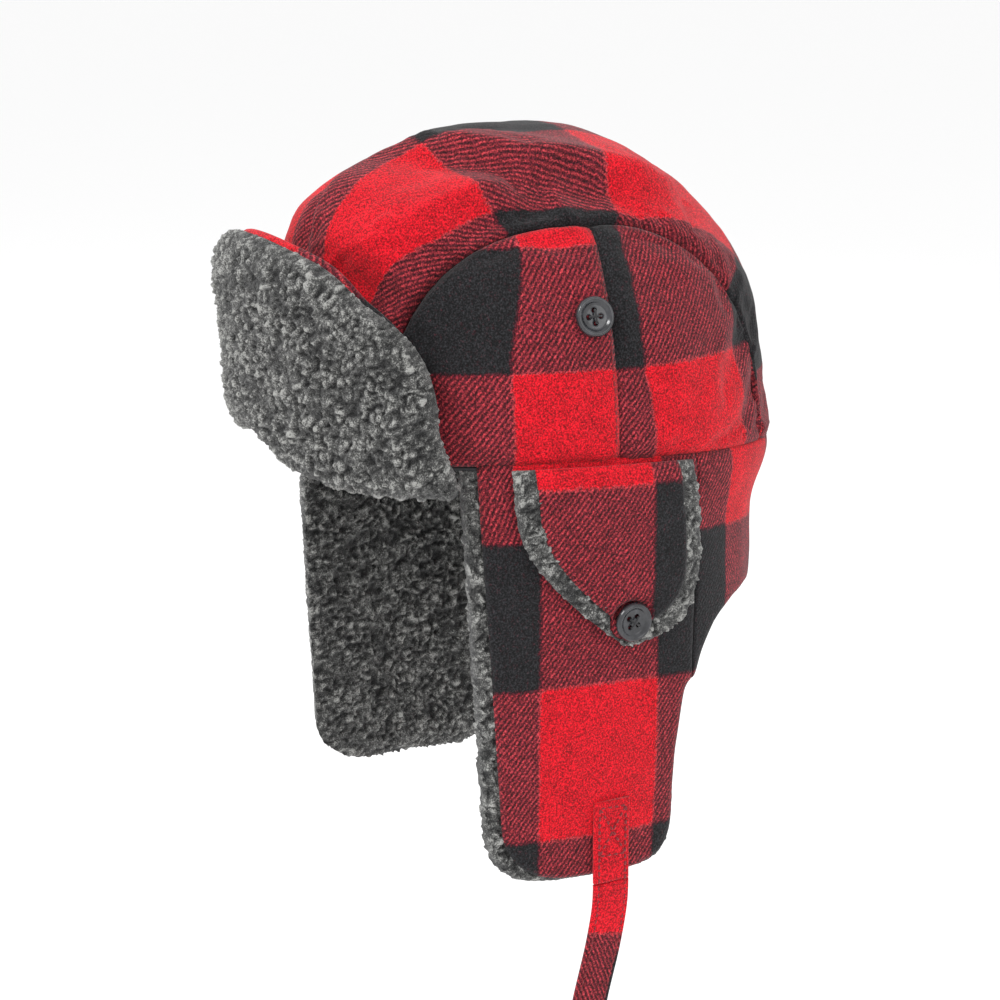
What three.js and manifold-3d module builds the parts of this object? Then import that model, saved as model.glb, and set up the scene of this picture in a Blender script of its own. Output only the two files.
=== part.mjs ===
// A trapper hat: a padded cloth crown with a folded-up visor, two ear flaps that run into a neck
// curtain, and a buttoned vent flap over each ear port. One chin strap hangs from the left flap.
// Millimetres. +Z is up, +X is the wearer's left and -Y is the front. The origin is the centre of
// the head opening, at the height of the brow seam.

import * as THREE from 'three';
import { mergeVertices } from 'three/addons/utils/BufferGeometryUtils.js';
import Module from 'manifold-3d';

const wasm = await Module();
wasm.setup();

// Crown: a dome that is squarer than an ellipsoid, with its brow seam lower at the nape.
const CROWN_HALF_WIDTH = 95;
const CROWN_HALF_LENGTH = 112;
const CROWN_HEIGHT = 127;
const PLAN_POWER = 2.1;
const DOME_POWER = 2.3;
const NAPE_DROP = 12;
const NAPE_START = -40;
const REAR_FALL = 0.06;
const FRONT_RISE = 0.03;
const FALL_RUN = 90;

// Layers of the crown wall, as depths in from the outer surface.
const PANEL_THICKNESS = 3;
const BATTING = [4.3, 8.1];
const LINING = [8.5, 10];
const SWEATBAND = [12.8, 14.2];
const SWEATBAND_HEIGHT = 26;

// The seam between the centre panel and a side panel is an arch in side view.
const ARCH_FRONT = -95;
const ARCH_BACK = 84;
const ARCH_HEIGHT = 94;
const ARCH_POWER = 2.4;
const ARCH_TRIM = 0.012;
const SIDE_SEAM_Y = -7;
const SEAM_GAP = 0.6;
const SIDE_SEAM_HALF_GAP = 0.0012;

// Visor, folded up in front of the crown.
const VISOR_HALF_ANGLE = 0.83;
const VISOR_HEIGHT = 92;
const VISOR_END_LOSS = 20;
const VISOR_BOTTOM = -5;
const VISOR_CORNER = 0.26;
const VISOR_CORNER_START = 0.66;
const VISOR_GAP = 2.4;
const VISOR_LEAN = 5;
const VISOR_EDGE_SHARE = 0.4;
const VISOR_SHELL = [0, 2];
const VISOR_PADDING = [3.6, 5.4];
const VISOR_SHERPA = [8, 16];
const VISOR_PADDING_INSET = 0.1;

// Ear flap: front and rear edges in side view, and its drop below the brow seam.
const FLAP_FRONT = -65;
const FLAP_REAR = 33;
const FLAP_FRONT_SLANT = 10;
const FLAP_REAR_SLANT = 9;
const FLAP_TOP = 3;
const FLAP_DROP = 179;
const FLAP_FRONT_CORNER = 24;
const FLAP_REAR_CORNER = 32;
const FLAP_LOW_X = 87;
const FLAP_FLATTENING = 0.5;
const CLOTH = 2.2;
const PILE = 9;
const PILE_GAP = 0.4;
const PILE_TOP = 6;
const PILE_FRONT_ROLL = 7;
const PILE_EDGE_ROLL = 3;
const EAR_PORT_RADIUS = 17;
const EAR_PORT_DROP = 38;

// Neck curtain.
const CURTAIN_DROP = 62;
const CURTAIN_CORNER_DROP = 36;
const CURTAIN_CORNER_RUN = 14;
const CURTAIN_TAPER = 0.1;
const CURTAIN_GAP = 5;
const CURTAIN_TOP = 1;

// Vent flap over the ear port, and the buttons that it closes and opens on.
const VENT_CENTRE = -12.5;
const VENT_TILT = 0.086;
const VENT_HALF_WIDTH = 40;
const VENT_DROP = 78;
const VENT_STRAIGHT = 22;
const VENT_TIP = 9;
const VENT_BORDER = 6;
const VENT_PILE = [1.5, 5];
const VENT_CLOTH = [5.3, 7.2];
const BUTTON_RADIUS = 8.25;
const BUTTON_THICKNESS = 3.4;
const BUTTON_HOLE_RADIUS = 0.95;
const BUTTON_HOLE_SPACING = 1.9;
const BUTTONHOLE_RADIUS = 9.6;
const BUTTON_DROP = 66;
const BUTTON_Y = -4.3;
const BUTTON_STANDOFF = 7.8;
const THREAD_RADIUS = 1.7;
const CROWN_BUTTON_HEIGHT = 59;
const CROWN_BUTTON_Y = -16;
const CROWN_BUTTON_STANDOFF = 1.4;

// Chin strap: sewn to the left flap, free below it, with a hook patch at its end.
const STRAP_WIDTH = 17;
const STRAP_THICKNESS = 2.6;
const STRAP_Y = -9;
const STRAP_SEWN_FROM = 146;
const STRAP_SEWN_TO = 182.6;
const HOOK_PATCH = [15, 32, 1.2];
const HOOK_PATCH_END = 0.985;
const PATCH_GAP = 0.3;
const LOOP_PATCH_BOTTOM = 172;
const STRAP_ROUTE = [
  [92.4, -9, -185.9], [92.4, -9.4, -194], [92.5, -10.8, -203], [92.6, -13, -213],
  [92.6, -15.8, -224], [92.5, -18.8, -236], [92.3, -21.2, -249], [92.1, -22.6, -263],
  [92, -23, -278], [91.9, -22.9, -294], [91.8, -22.7, -310], [91.8, -22.4, -326],
  [91.8, -22.2, -342], [91.8, -22.1, -358], [91.8, -22, -374], [91.8, -22, -390],
  [91.8, -22, -406],
];

const COLOURS = {
  plaid: 0x9c2a35, sherpa: 0x6e6e6c, lining: 0x3a3a3c, batting: 0xe8e4da, button: 0x2e2f32,
  thread: 0x1c1c1e, band: 0x2b2b2d, strap: 0xb0242f, hook: 0x222224,
};

const clamp = (x) => Math.min(1, Math.max(0, x));
const smooth = (x) => clamp(x) ** 2 * (3 - 2 * clamp(x));
const mix = (a, b, share) => a + (b - a) * share;

function cloth(colour, roughness = 0.95) {
  return new THREE.MeshStandardMaterial({ color: colour, roughness, metalness: 0 });
}

// Turns every triangle over if the closed mesh has its faces pointing in.
function facingOut(geometry) {
  const p = geometry.attributes.position;
  const index = geometry.index.array;
  const [a, b, c] = [new THREE.Vector3(), new THREE.Vector3(), new THREE.Vector3()];
  let volume = 0;
  for (let i = 0; i < index.length; i += 3) {
    a.fromBufferAttribute(p, index[i]);
    b.fromBufferAttribute(p, index[i + 1]);
    c.fromBufferAttribute(p, index[i + 2]);
    volume += a.dot(b.cross(c));
  }
  if (volume < 0) {
    for (let i = 0; i < index.length; i += 3) {
      [index[i], index[i + 1]] = [index[i + 1], index[i]];
    }
  }
  geometry.computeVertexNormals();
  return geometry;
}

// Moves each vertex of a closed geometry to map(x, y, z), with its seams merged.
function remapped(geometry, map) {
  geometry.deleteAttribute('normal');
  geometry.deleteAttribute('uv');
  const merged = mergeVertices(geometry, 1e-5);
  const p = merged.attributes.position;
  for (let i = 0; i < p.count; i += 1) {
    p.setXYZ(i, ...map(p.getX(i), p.getY(i), p.getZ(i)).toArray());
  }
  return facingOut(merged);
}

// A closed panel of place(u, v, w), with u, v and w from 0 to 1.
function bentPanel(countU, countV, place) {
  const box = new THREE.BoxGeometry(1, 1, 1, countU, countV, 1);
  return remapped(box, (x, y, z) => place(x + 0.5, y + 0.5, z + 0.5));
}

// A closed layer that follows surface(u, v), between two depths along its outward normal.
function layer(surface, outward, countU, countV, near, far) {
  const STEP = 1e-3;
  return bentPanel(countU, countV, (u, v, w) => {
    const point = surface(u, v);
    const alongU = surface(u + STEP, v).sub(surface(u - STEP, v));
    const alongV = surface(u, v + STEP).sub(surface(u, v - STEP));
    const normal = alongU.cross(alongV).normalize();
    if (normal.dot(outward) < 0) normal.negate();
    return point.addScaledVector(normal, mix(near, far, w));
  });
}

function toManifold(geometry) {
  return new wasm.Manifold(new wasm.Mesh({
    numProp: 3,
    vertProperties: new Float32Array(geometry.attributes.position.array),
    triVerts: new Uint32Array(geometry.index.array),
  }));
}

function cut(geometry, tool) {
  const mesh = toManifold(geometry).subtract(toManifold(tool)).getMesh();
  const result = new THREE.BufferGeometry();
  result.setAttribute('position', new THREE.BufferAttribute(mesh.vertProperties, 3));
  result.setIndex(new THREE.BufferAttribute(mesh.triVerts, 1));
  result.computeVertexNormals();
  return result;
}

// A round punch of a given radius and length through a point, along a direction.
function punch(radius, length, point, direction, sides = 20) {
  const turn = new THREE.Quaternion().setFromUnitVectors(new THREE.Vector3(0, 1, 0), direction);
  const rod = new THREE.CylinderGeometry(radius, radius, length, sides);
  return remapped(rod, (x, y, z) => new THREE.Vector3(x, y, z).applyQuaternion(turn).add(point));
}

// ---- The crown's surface -------------------------------------------------------------------

function browDrop(y) {
  const run = CROWN_HALF_LENGTH - NAPE_START;
  return NAPE_DROP * clamp((y - NAPE_START) / run) ** 1.6;
}

function browX(y) {
  const share = clamp(Math.abs(y) / CROWN_HALF_LENGTH) ** PLAN_POWER;
  return CROWN_HALF_WIDTH * (1 - share) ** (1 / PLAN_POWER);
}

// The point of the dome in a direction from the origin, at a depth in from its outer surface.
function domePoint(direction, depth) {
  const x = Math.abs(direction.x) / (CROWN_HALF_WIDTH - depth);
  const y = Math.abs(direction.y) / (CROWN_HALF_LENGTH - depth);
  const z = Math.abs(direction.z) / (CROWN_HEIGHT - depth);
  const plan = (x ** PLAN_POWER + y ** PLAN_POWER) ** (DOME_POWER / PLAN_POWER);
  const point = direction.clone().multiplyScalar((plan + z ** DOME_POWER) ** (-1 / DOME_POWER));
  const lift = FRONT_RISE * smooth(-point.y / FALL_RUN) - REAR_FALL * smooth(point.y / FALL_RUN);
  point.z *= 1 + lift;
  point.z -= browDrop(point.y) * (1 - clamp(point.z / CROWN_HEIGHT));
  return point;
}

// The direction of the arch seam on the left side, from the brow in front (0) to the nape (1).
function archDirection(t) {
  const turn = Math.PI * (1 - t);
  const along = Math.sign(Math.cos(turn)) * Math.abs(Math.cos(turn)) ** (2 / ARCH_POWER);
  const y = mix(ARCH_FRONT, ARCH_BACK, (along + 1) / 2);
  const z = ARCH_HEIGHT * Math.max(0, Math.sin(turn)) ** (2 / ARCH_POWER);
  const level = (1 - (z / CROWN_HEIGHT) ** DOME_POWER) ** (PLAN_POWER / DOME_POWER);
  const share = (Math.abs(y) / CROWN_HALF_LENGTH) ** PLAN_POWER;
  return new THREE.Vector3(CROWN_HALF_WIDTH * (level - share) ** (1 / PLAN_POWER), y, z);
}

// Where along the arch seam it passes a given y.
function archPositionAt(y) {
  const along = (2 * (y - ARCH_FRONT)) / (ARCH_BACK - ARCH_FRONT) - 1;
  const turn = Math.acos(Math.sign(along) * Math.abs(along) ** (ARCH_POWER / 2));
  return 1 - turn / Math.PI;
}

function centrePanel() {
  return bentPanel(10, 24, (u, v, w) => {
    const edge = archDirection(v);
    edge.x *= (2 * u - 1) * (1 - SEAM_GAP / edge.x);
    return domePoint(edge, w * PANEL_THICKNESS);
  });
}

function sidePanel(side, from, to) {
  return bentPanel(8, 7, (u, v, w) => {
    const top = archDirection(mix(from, to, u));
    const foot = new THREE.Vector3(browX(top.y), top.y, 0);
    const direction = foot.lerp(top, v);
    direction.x *= side;
    return domePoint(direction, w * PANEL_THICKNESS);
  });
}

// A whole dome between two depths, open below.
function domeShell([outer, inner]) {
  const STEPS = 8;
  const profile = [];
  for (let i = 0; i <= STEPS; i += 1) {
    const tilt = (Math.PI / 2) * (i / STEPS);
    profile.push(new THREE.Vector2(Math.sin(tilt), Math.cos(tilt)));
  }
  const inside = profile.map((p) => p.clone().multiplyScalar(0.5)).reverse();
  const lathe = new THREE.LatheGeometry([...profile, ...inside], 24);
  return remapped(lathe, (x, y, z) => {
    const direction = new THREE.Vector3(x, z, Math.max(0, y));
    return domePoint(direction, direction.length() > 0.75 ? outer : inner);
  });
}

function sweatband() {
  const [outer, inner] = SWEATBAND;
  const profile = [[1, 0], [1, 1], [0.5, 1], [0.5, 0], [1, 0]].map((p) => new THREE.Vector2(...p));
  return remapped(new THREE.LatheGeometry(profile, 30), (x, y, z) => {
    const direction = new THREE.Vector3(x, z, 0);
    const point = domePoint(direction, direction.length() > 0.75 ? outer : inner);
    point.z += y * SWEATBAND_HEIGHT;
    return point;
  });
}

// ---- The visor -----------------------------------------------------------------------------

// u runs from the wearer's right end to the left one, and v from the bottom fold to the top edge.
// The layers are thinner towards the edges, as on a stuffed pad.
function visorPoint(u, v, depth) {
  const across = 2 * u - 1;
  const intoCorner = clamp((v - VISOR_CORNER_START) / (1 - VISOR_CORNER_START));
  const corner = 1 - VISOR_CORNER * (1 - Math.sqrt(1 - 0.96 * intoCorner ** 2));
  const turn = across * VISOR_HALF_ANGLE * corner;
  const fullness = Math.sqrt((1 - across ** 8) * (1 - (2 * v - 1) ** 4));
  const out = VISOR_GAP + VISOR_LEAN * v + depth * mix(VISOR_EDGE_SHARE, 1, fullness);
  return new THREE.Vector3(
    (CROWN_HALF_WIDTH + out) * Math.sin(turn),
    -(CROWN_HALF_LENGTH + out) * Math.cos(turn),
    VISOR_BOTTOM + (VISOR_HEIGHT - VISOR_END_LOSS * across ** 2) * v,
  );
}

// A layer of the visor, its edges drawn in by a share of the visor's width and height.
function visorLayer([near, far], inset = 0) {
  return bentPanel(14, 8, (u, v, w) => (
    visorPoint(mix(inset, 1 - inset, u), mix(inset, 1 - inset, v), mix(near, far, w))
  ));
}

// ---- Ear flaps and neck curtain ------------------------------------------------------------

function cornerInset(drop, total, radius) {
  const into = Math.min(radius, Math.max(0, drop - (total - radius)));
  return radius - Math.sqrt(Math.max(0, radius ** 2 - into ** 2));
}

function flapX(y, drop) {
  const flat = FLAP_LOW_X - 0.0016 * (y + 15) ** 2;
  return mix(browX(y), flat, FLAP_FLATTENING * smooth(drop / FLAP_DROP));
}

function flapPoint(side, y, drop) {
  return new THREE.Vector3(side * flapX(y, drop), y, -browDrop(y) - drop);
}

// An ear flap's outline: where its front and rear edges are at each drop.
function flapSurface(side, top, frontRoll, edgeRoll) {
  const total = FLAP_DROP + edgeRoll;
  return (u, v) => {
    const drop = mix(top, total, 0.45 * v + 0.55 * Math.sin((Math.PI / 2) * v));
    const low = smooth((drop - 60) / 80);
    const front = FLAP_FRONT - frontRoll + FLAP_FRONT_SLANT * (drop / FLAP_DROP)
      + cornerInset(drop, total, FLAP_FRONT_CORNER);
    const rear = FLAP_REAR - (FLAP_REAR_SLANT - edgeRoll) * low
      - cornerInset(drop, total, FLAP_REAR_CORNER);
    return flapPoint(side, mix(front, rear, u), drop);
  };
}

function portPunch(side) {
  const centre = flapPoint(side, VENT_CENTRE, EAR_PORT_DROP);
  return punch(EAR_PORT_RADIUS, 60, centre, new THREE.Vector3(1, 0, 0));
}

function flapShell(side) {
  const outward = new THREE.Vector3(side, 0, 0);
  const whole = layer(flapSurface(side, FLAP_TOP, 0, 0), outward, 7, 13, -CLOTH, 0);
  return cut(whole, portPunch(side));
}

function flapSherpa(side) {
  const outward = new THREE.Vector3(side, 0, 0);
  const surface = flapSurface(side, PILE_TOP, PILE_FRONT_ROLL, PILE_EDGE_ROLL);
  const near = -CLOTH - PILE_GAP;
  return cut(layer(surface, outward, 7, 13, near - PILE, near), portPunch(side));
}

// u runs from the right end round the nape to the left end.
function curtainSurface(top, roll) {
  const start = Math.acos((FLAP_REAR + CURTAIN_GAP) / CROWN_HALF_LENGTH);
  return (u, v) => {
    const turn = mix(-start, start, u);
    const y = CROWN_HALF_LENGTH * Math.cos(turn);
    const fromCorner = y - FLAP_REAR;
    const hem = CURTAIN_DROP + CURTAIN_CORNER_DROP * Math.exp(-fromCorner / CURTAIN_CORNER_RUN);
    const drop = mix(top, hem + roll, v);
    const narrowing = flapX(FLAP_REAR, drop) / browX(FLAP_REAR);
    const taper = CURTAIN_TAPER * clamp(drop / CURTAIN_DROP);
    return new THREE.Vector3(
      Math.sign(turn) * browX(y) * narrowing,
      y - fromCorner * taper,
      -browDrop(y) - drop,
    );
  };
}

function curtainLayer(top, roll, near, far) {
  return layer(curtainSurface(top, roll), new THREE.Vector3(0, 1, 0), 20, 5, near, far);
}

// ---- Vent flaps ----------------------------------------------------------------------------

function ventSurface(side, border) {
  const total = VENT_DROP - border;
  return (u, v) => {
    const drop = mix(FLAP_TOP, total, v);
    const low = clamp((drop - VENT_STRAIGHT) / (total - VENT_STRAIGHT));
    const half = Math.max(VENT_TIP, (VENT_HALF_WIDTH - border) * Math.sqrt(1 - low ** 2));
    const centre = VENT_CENTRE + VENT_TILT * drop;
    return flapPoint(side, centre + (2 * u - 1) * half, drop);
  };
}

function buttonPlace(side) {
  return flapPoint(side, BUTTON_Y, BUTTON_DROP);
}

function ventLayer(side, border, [near, far]) {
  const outward = new THREE.Vector3(side, 0, 0);
  const whole = layer(ventSurface(side, border), outward, 8, 10, near, far);
  return cut(whole, punch(BUTTONHOLE_RADIUS, 60, buttonPlace(side), outward));
}

// ---- Buttons -------------------------------------------------------------------------------

// A flat round button with four sewing holes, its back standing off from a surface point.
function button(point, normal, standoff) {
  const disc = new THREE.Shape().absarc(0, 0, BUTTON_RADIUS, 0, 2 * Math.PI);
  for (const x of [-BUTTON_HOLE_SPACING, BUTTON_HOLE_SPACING]) {
    for (const y of [-BUTTON_HOLE_SPACING, BUTTON_HOLE_SPACING]) {
      disc.holes.push(new THREE.Path().absarc(x, y, BUTTON_HOLE_RADIUS, 0, 2 * Math.PI));
    }
  }
  const settings = { depth: BUTTON_THICKNESS, bevelEnabled: false, curveSegments: 9 };
  const turn = new THREE.Quaternion().setFromUnitVectors(new THREE.Vector3(0, 0, 1), normal);
  const start = point.clone().addScaledVector(normal, standoff);
  return remapped(new THREE.ExtrudeGeometry(disc, settings), (x, y, z) => (
    new THREE.Vector3(x, y, z).applyQuaternion(turn).add(start)
  ));
}

// The thread shank between the cloth and the back of a button.
function shank(point, normal, standoff) {
  const GAP = 0.35;
  const length = standoff - 2 * GAP;
  const middle = point.clone().addScaledVector(normal, GAP + length / 2);
  return punch(THREAD_RADIUS, length, middle, normal, 8);
}

function crownButtonPlace(side) {
  const level = (1 - (CROWN_BUTTON_HEIGHT / CROWN_HEIGHT) ** DOME_POWER) ** (PLAN_POWER / DOME_POWER);
  const share = (Math.abs(CROWN_BUTTON_Y) / CROWN_HALF_LENGTH) ** PLAN_POWER;
  const x = CROWN_HALF_WIDTH * (level - share) ** (1 / PLAN_POWER);
  const direction = new THREE.Vector3(side * x, CROWN_BUTTON_Y, CROWN_BUTTON_HEIGHT);
  const point = domePoint(direction, 0);
  const STEP = new THREE.Vector3(0, 0.5, 0);
  const RISE = new THREE.Vector3(0, 0, 0.5);
  const alongY = domePoint(direction.clone().add(STEP), 0).sub(domePoint(direction.clone().sub(STEP), 0));
  const alongZ = domePoint(direction.clone().add(RISE), 0).sub(domePoint(direction.clone().sub(RISE), 0));
  const normal = alongY.cross(alongZ).normalize();
  if (normal.x * side < 0) normal.negate();
  return { point, normal };
}

// ---- Chin strap ----------------------------------------------------------------------------

function strapAnchor() {
  const surface = (u, v) => flapPoint(1, STRAP_Y + (u - 0.5) * STRAP_WIDTH,
    mix(STRAP_SEWN_FROM, STRAP_SEWN_TO, v));
  const far = PATCH_GAP + STRAP_THICKNESS;
  return layer(surface, new THREE.Vector3(1, 0, 0), 4, 6, PATCH_GAP, far);
}

function strapSurface(width, from, to) {
  const route = new THREE.CatmullRomCurve3(STRAP_ROUTE.map((p) => new THREE.Vector3(...p)));
  return (u, v) => {
    const point = route.getPointAt(clamp(mix(from, to, v)));
    point.y += (u - 0.5) * width;
    point.z += Math.min(0, v) * 0.1 + Math.max(0, v - 1) * -0.1;
    return point;
  };
}

function freeStrap() {
  const half = STRAP_THICKNESS / 2;
  return layer(strapSurface(STRAP_WIDTH, 0, 1), new THREE.Vector3(1, 0, 0), 2, 26, -half, half);
}

function hookPatch() {
  const [width, length, thickness] = HOOK_PATCH;
  const route = new THREE.CatmullRomCurve3(STRAP_ROUTE.map((p) => new THREE.Vector3(...p)));
  const near = -STRAP_THICKNESS / 2 - PATCH_GAP;
  const from = HOOK_PATCH_END - length / route.getLength();
  const surface = strapSurface(width, from, HOOK_PATCH_END);
  return layer(surface, new THREE.Vector3(1, 0, 0), 2, 4, near - thickness, near);
}

function loopPatch() {
  const [width, length, thickness] = HOOK_PATCH;
  const surface = (u, v) => flapPoint(-1, STRAP_Y + (u - 0.5) * width,
    mix(LOOP_PATCH_BOTTOM - length, LOOP_PATCH_BOTTOM, v));
  return layer(surface, new THREE.Vector3(-1, 0, 0), 4, 4, PATCH_GAP, PATCH_GAP + thickness);
}

// ---- Assembly ------------------------------------------------------------------------------

const hat = new THREE.Group();

function add(group, name, geometry, material) {
  const mesh = new THREE.Mesh(geometry, material);
  mesh.name = name;
  group.add(mesh);
}

const plaid = cloth(COLOURS.plaid);
const pile = cloth(COLOURS.sherpa, 1);
const horn = cloth(COLOURS.button, 0.3);
const yarn = cloth(COLOURS.thread);

function addCrown() {
  const crown = new THREE.Group();
  const split = archPositionAt(SIDE_SEAM_Y);
  add(crown, 'crown_centre_panel', centrePanel(), plaid);
  add(crown, 'crown_batting', domeShell(BATTING), cloth(COLOURS.batting));
  add(crown, 'crown_lining', domeShell(LINING), cloth(COLOURS.lining));
  add(crown, 'sweatband', sweatband(), cloth(COLOURS.band));
  for (const [name, side] of [['left', 1], ['right', -1]]) {
    const front = sidePanel(side, ARCH_TRIM, split - SIDE_SEAM_HALF_GAP);
    const rear = sidePanel(side, split + SIDE_SEAM_HALF_GAP, 1 - ARCH_TRIM);
    add(crown, `side_panel_front_${name}`, front, plaid);
    add(crown, `side_panel_rear_${name}`, rear, plaid);
    const { point, normal } = crownButtonPlace(side);
    add(crown, `crown_button_${name}`, button(point, normal, CROWN_BUTTON_STANDOFF), horn);
    add(crown, `crown_button_thread_${name}`, shank(point, normal, CROWN_BUTTON_STANDOFF), yarn);
  }
  hat.add(crown);
}

function addVisor() {
  const visor = new THREE.Group();
  add(visor, 'visor_shell', visorLayer(VISOR_SHELL), plaid);
  add(visor, 'visor_padding', visorLayer(VISOR_PADDING, VISOR_PADDING_INSET), cloth(COLOURS.batting));
  add(visor, 'visor_sherpa', visorLayer(VISOR_SHERPA), pile);
  hat.add(visor);
}

function addNeckCurtain() {
  const curtain = new THREE.Group();
  const near = -CLOTH - PILE_GAP;
  add(curtain, 'neck_curtain_shell', curtainLayer(CURTAIN_TOP, 0, -CLOTH, 0), plaid);
  const sherpa = curtainLayer(CURTAIN_TOP, PILE_EDGE_ROLL, near - PILE, near);
  add(curtain, 'neck_curtain_sherpa', sherpa, pile);
  hat.add(curtain);
}

function addEarFlap(name, side) {
  const flap = new THREE.Group();
  const place = buttonPlace(side);
  const outward = new THREE.Vector3(side, 0, 0);
  add(flap, `ear_flap_shell_${name}`, flapShell(side), plaid);
  add(flap, `ear_flap_sherpa_${name}`, flapSherpa(side), pile);
  add(flap, `ear_button_${name}`, button(place, outward, BUTTON_STANDOFF), horn);
  add(flap, `ear_button_thread_${name}`, shank(place, outward, BUTTON_STANDOFF), yarn);
  const vent = new THREE.Group();
  add(vent, `vent_flap_sherpa_${name}`, ventLayer(side, 0, VENT_PILE), pile);
  add(vent, `vent_flap_shell_${name}`, ventLayer(side, VENT_BORDER, VENT_CLOTH), plaid);
  flap.add(vent);
  hat.add(flap);
}

function addChinStrap() {
  const strap = new THREE.Group();
  add(strap, 'chin_strap_anchor', strapAnchor(), cloth(COLOURS.strap));
  add(strap, 'chin_strap', freeStrap(), cloth(COLOURS.strap));
  add(strap, 'strap_hook_patch', hookPatch(), cloth(COLOURS.hook));
  add(strap, 'strap_loop_patch', loopPatch(), cloth(COLOURS.hook));
  hat.add(strap);
}

addCrown();
addVisor();
addNeckCurtain();
addEarFlap('left', 1);
addEarFlap('right', -1);
addChinStrap();

export default hat;
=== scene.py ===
"""A trapper hat in plaid wool with curly fleece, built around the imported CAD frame.

Lengths in this script are millimetres until a mesh is made, which turns them into metres.
"""

import itertools
import math

import bpy
import numpy as np
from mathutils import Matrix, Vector


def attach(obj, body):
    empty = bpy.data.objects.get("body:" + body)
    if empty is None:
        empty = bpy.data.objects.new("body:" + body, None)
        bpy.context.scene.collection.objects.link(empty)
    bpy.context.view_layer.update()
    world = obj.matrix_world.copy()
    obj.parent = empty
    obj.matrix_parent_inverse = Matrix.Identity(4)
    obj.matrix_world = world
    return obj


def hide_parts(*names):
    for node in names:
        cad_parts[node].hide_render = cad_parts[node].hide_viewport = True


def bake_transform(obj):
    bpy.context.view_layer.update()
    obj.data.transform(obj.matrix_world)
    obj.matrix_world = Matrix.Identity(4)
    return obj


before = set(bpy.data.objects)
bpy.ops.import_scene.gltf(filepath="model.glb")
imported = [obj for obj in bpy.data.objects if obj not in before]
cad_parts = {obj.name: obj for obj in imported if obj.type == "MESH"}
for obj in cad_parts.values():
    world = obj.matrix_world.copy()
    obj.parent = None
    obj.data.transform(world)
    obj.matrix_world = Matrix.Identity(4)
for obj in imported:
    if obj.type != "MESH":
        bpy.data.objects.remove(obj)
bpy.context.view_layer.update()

MM = 0.001

# Crown. The arch seam ends 4 mm further forward than in the CAD model, and its cloth is thinner.
CROWN_HALF_WIDTH = 95
CROWN_HALF_LENGTH = 112
CROWN_HEIGHT = 127
PLAN_POWER = 2.1
DOME_POWER = 2.3
NAPE_DROP = 12
NAPE_START = -40
REAR_FALL = 0.06
FRONT_RISE = 0.03
FALL_RUN = 90
ARCH_FRONT = -95
ARCH_BACK = 80
ARCH_HEIGHT = 94
ARCH_POWER = 2.4
ARCH_TRIM = 0.012
SIDE_SEAM_Y = -7
CROWN_CLOTH = 1.8
CROWN_DEEPEST = -5.9
# Depths of the thin wadding shown; the CAD model's is thicker.
WADDING_LAYER = [8.05, 8.45]
LINING = [8.5, 10]
BAND_HEIGHT = 26

# Visor, folded up in front of the crown.
VISOR_HALF_ANGLE = 0.83
VISOR_HEIGHT = 92
VISOR_END_LOSS = 20
VISOR_BOTTOM = -5
VISOR_CORNER = 0.26
VISOR_CORNER_START = 0.66
VISOR_GAP = 2.4
VISOR_LEAN = 5
VISOR_FLAT_RADIUS = 117

# Ear flaps and neck curtain. A drop is measured down from the brow seam.
FLAP_FRONT = -65
FLAP_REAR = 33
FLAP_CUT_Y = FLAP_REAR + 0.5
CLOTH_CUT_AHEAD = 1.8
FLAP_FRONT_SLANT = 10
FLAP_REAR_SLANT = 9
FLAP_DROP = 179
FLAP_FRONT_CORNER = 24
FLAP_REAR_CORNER = 18
FLAP_LOW_X = 87
FLAP_FLATTENING = 0.5
CLOTH = 2.2
PILE = 9
PILE_FRONT_ROLL = 7
PILE_EDGE_ROLL = 3
EAR_PORT_RADIUS = 17
EAR_PORT_DROP = 38
CURTAIN_DROP = 62
CURTAIN_CORNER_DROP = 36
CURTAIN_CORNER_RUN = 14
CURTAIN_TAPER = 0.15
CURTAIN_TAPER_RUN = 30
FAR_FLAP_FORWARD = 9
FAR_FLAP_OUTWARD = 5
FAR_FLAP_FROM = -46

# Vent flaps, buttons and chin strap.
VENT_CENTRE = -12.5
VENT_TILT = 0.086
VENT_HALF_WIDTH = 40
VENT_DROP = 77
VENT_STRAIGHT = 22
VENT_BORDER = 8.5
BUTTON_RADIUS = 8.25
BUTTON_HOLE_RADIUS = 0.95
BUTTON_HOLE_SPACING = 1.9
BUTTON_DROP = 66
BUTTON_Y = -4.3
BUTTON_STANDOFF = 5.7
BUTTONHOLE_SPARE = 0.6
CROWN_BUTTON_HEIGHT = 58.2
CROWN_BUTTON_Y = -16.8
CROWN_BUTTON_STANDOFF = 1.4
STRAP_WIDTH = 17
STRAP_THICKNESS = 2.6
STRAP_Y = -9
STRAP_SEWN_FROM = 146
STRAP_SEWN_TO = 182.6
STRAP_HIDDEN_START = (92.4, -9, -183.6)
STRAP_ROUTE = [
    (92.4, -9, -185.9), (92.4, -9.4, -194), (92.5, -10.8, -203), (92.6, -13, -213),
    (92.6, -15.8, -224), (92.5, -18.8, -236), (92.3, -21.2, -249), (92.1, -22.6, -263),
    (92, -23, -278), (91.9, -22.9, -294), (91.8, -22.7, -310), (91.8, -22.4, -326),
    (91.8, -22.2, -342), (91.8, -22.1, -358), (91.8, -22, -374), (91.8, -22, -390),
    (91.8, -22, -406),
]

# Plaid: a check is a stripe of warp by a band of weft, and its twill runs slantwise.
STRIPE = 55
BAND = 62
ARCH_LENGTH = 316
TWILL_PITCH = 1.8
TWILL_SLOPE = -0.75

# Fleece: the size of one curl of the pile.
CURL_SIZE = 3.7

SIDES = (("left", 1), ("right", -1))


# ---- Small tools ----


def smooth(x):
    x = np.clip(x, 0, 1)
    return x * x * (3 - 2 * x)


def mix(a, b, share):
    return a + (b - a) * share


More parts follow.
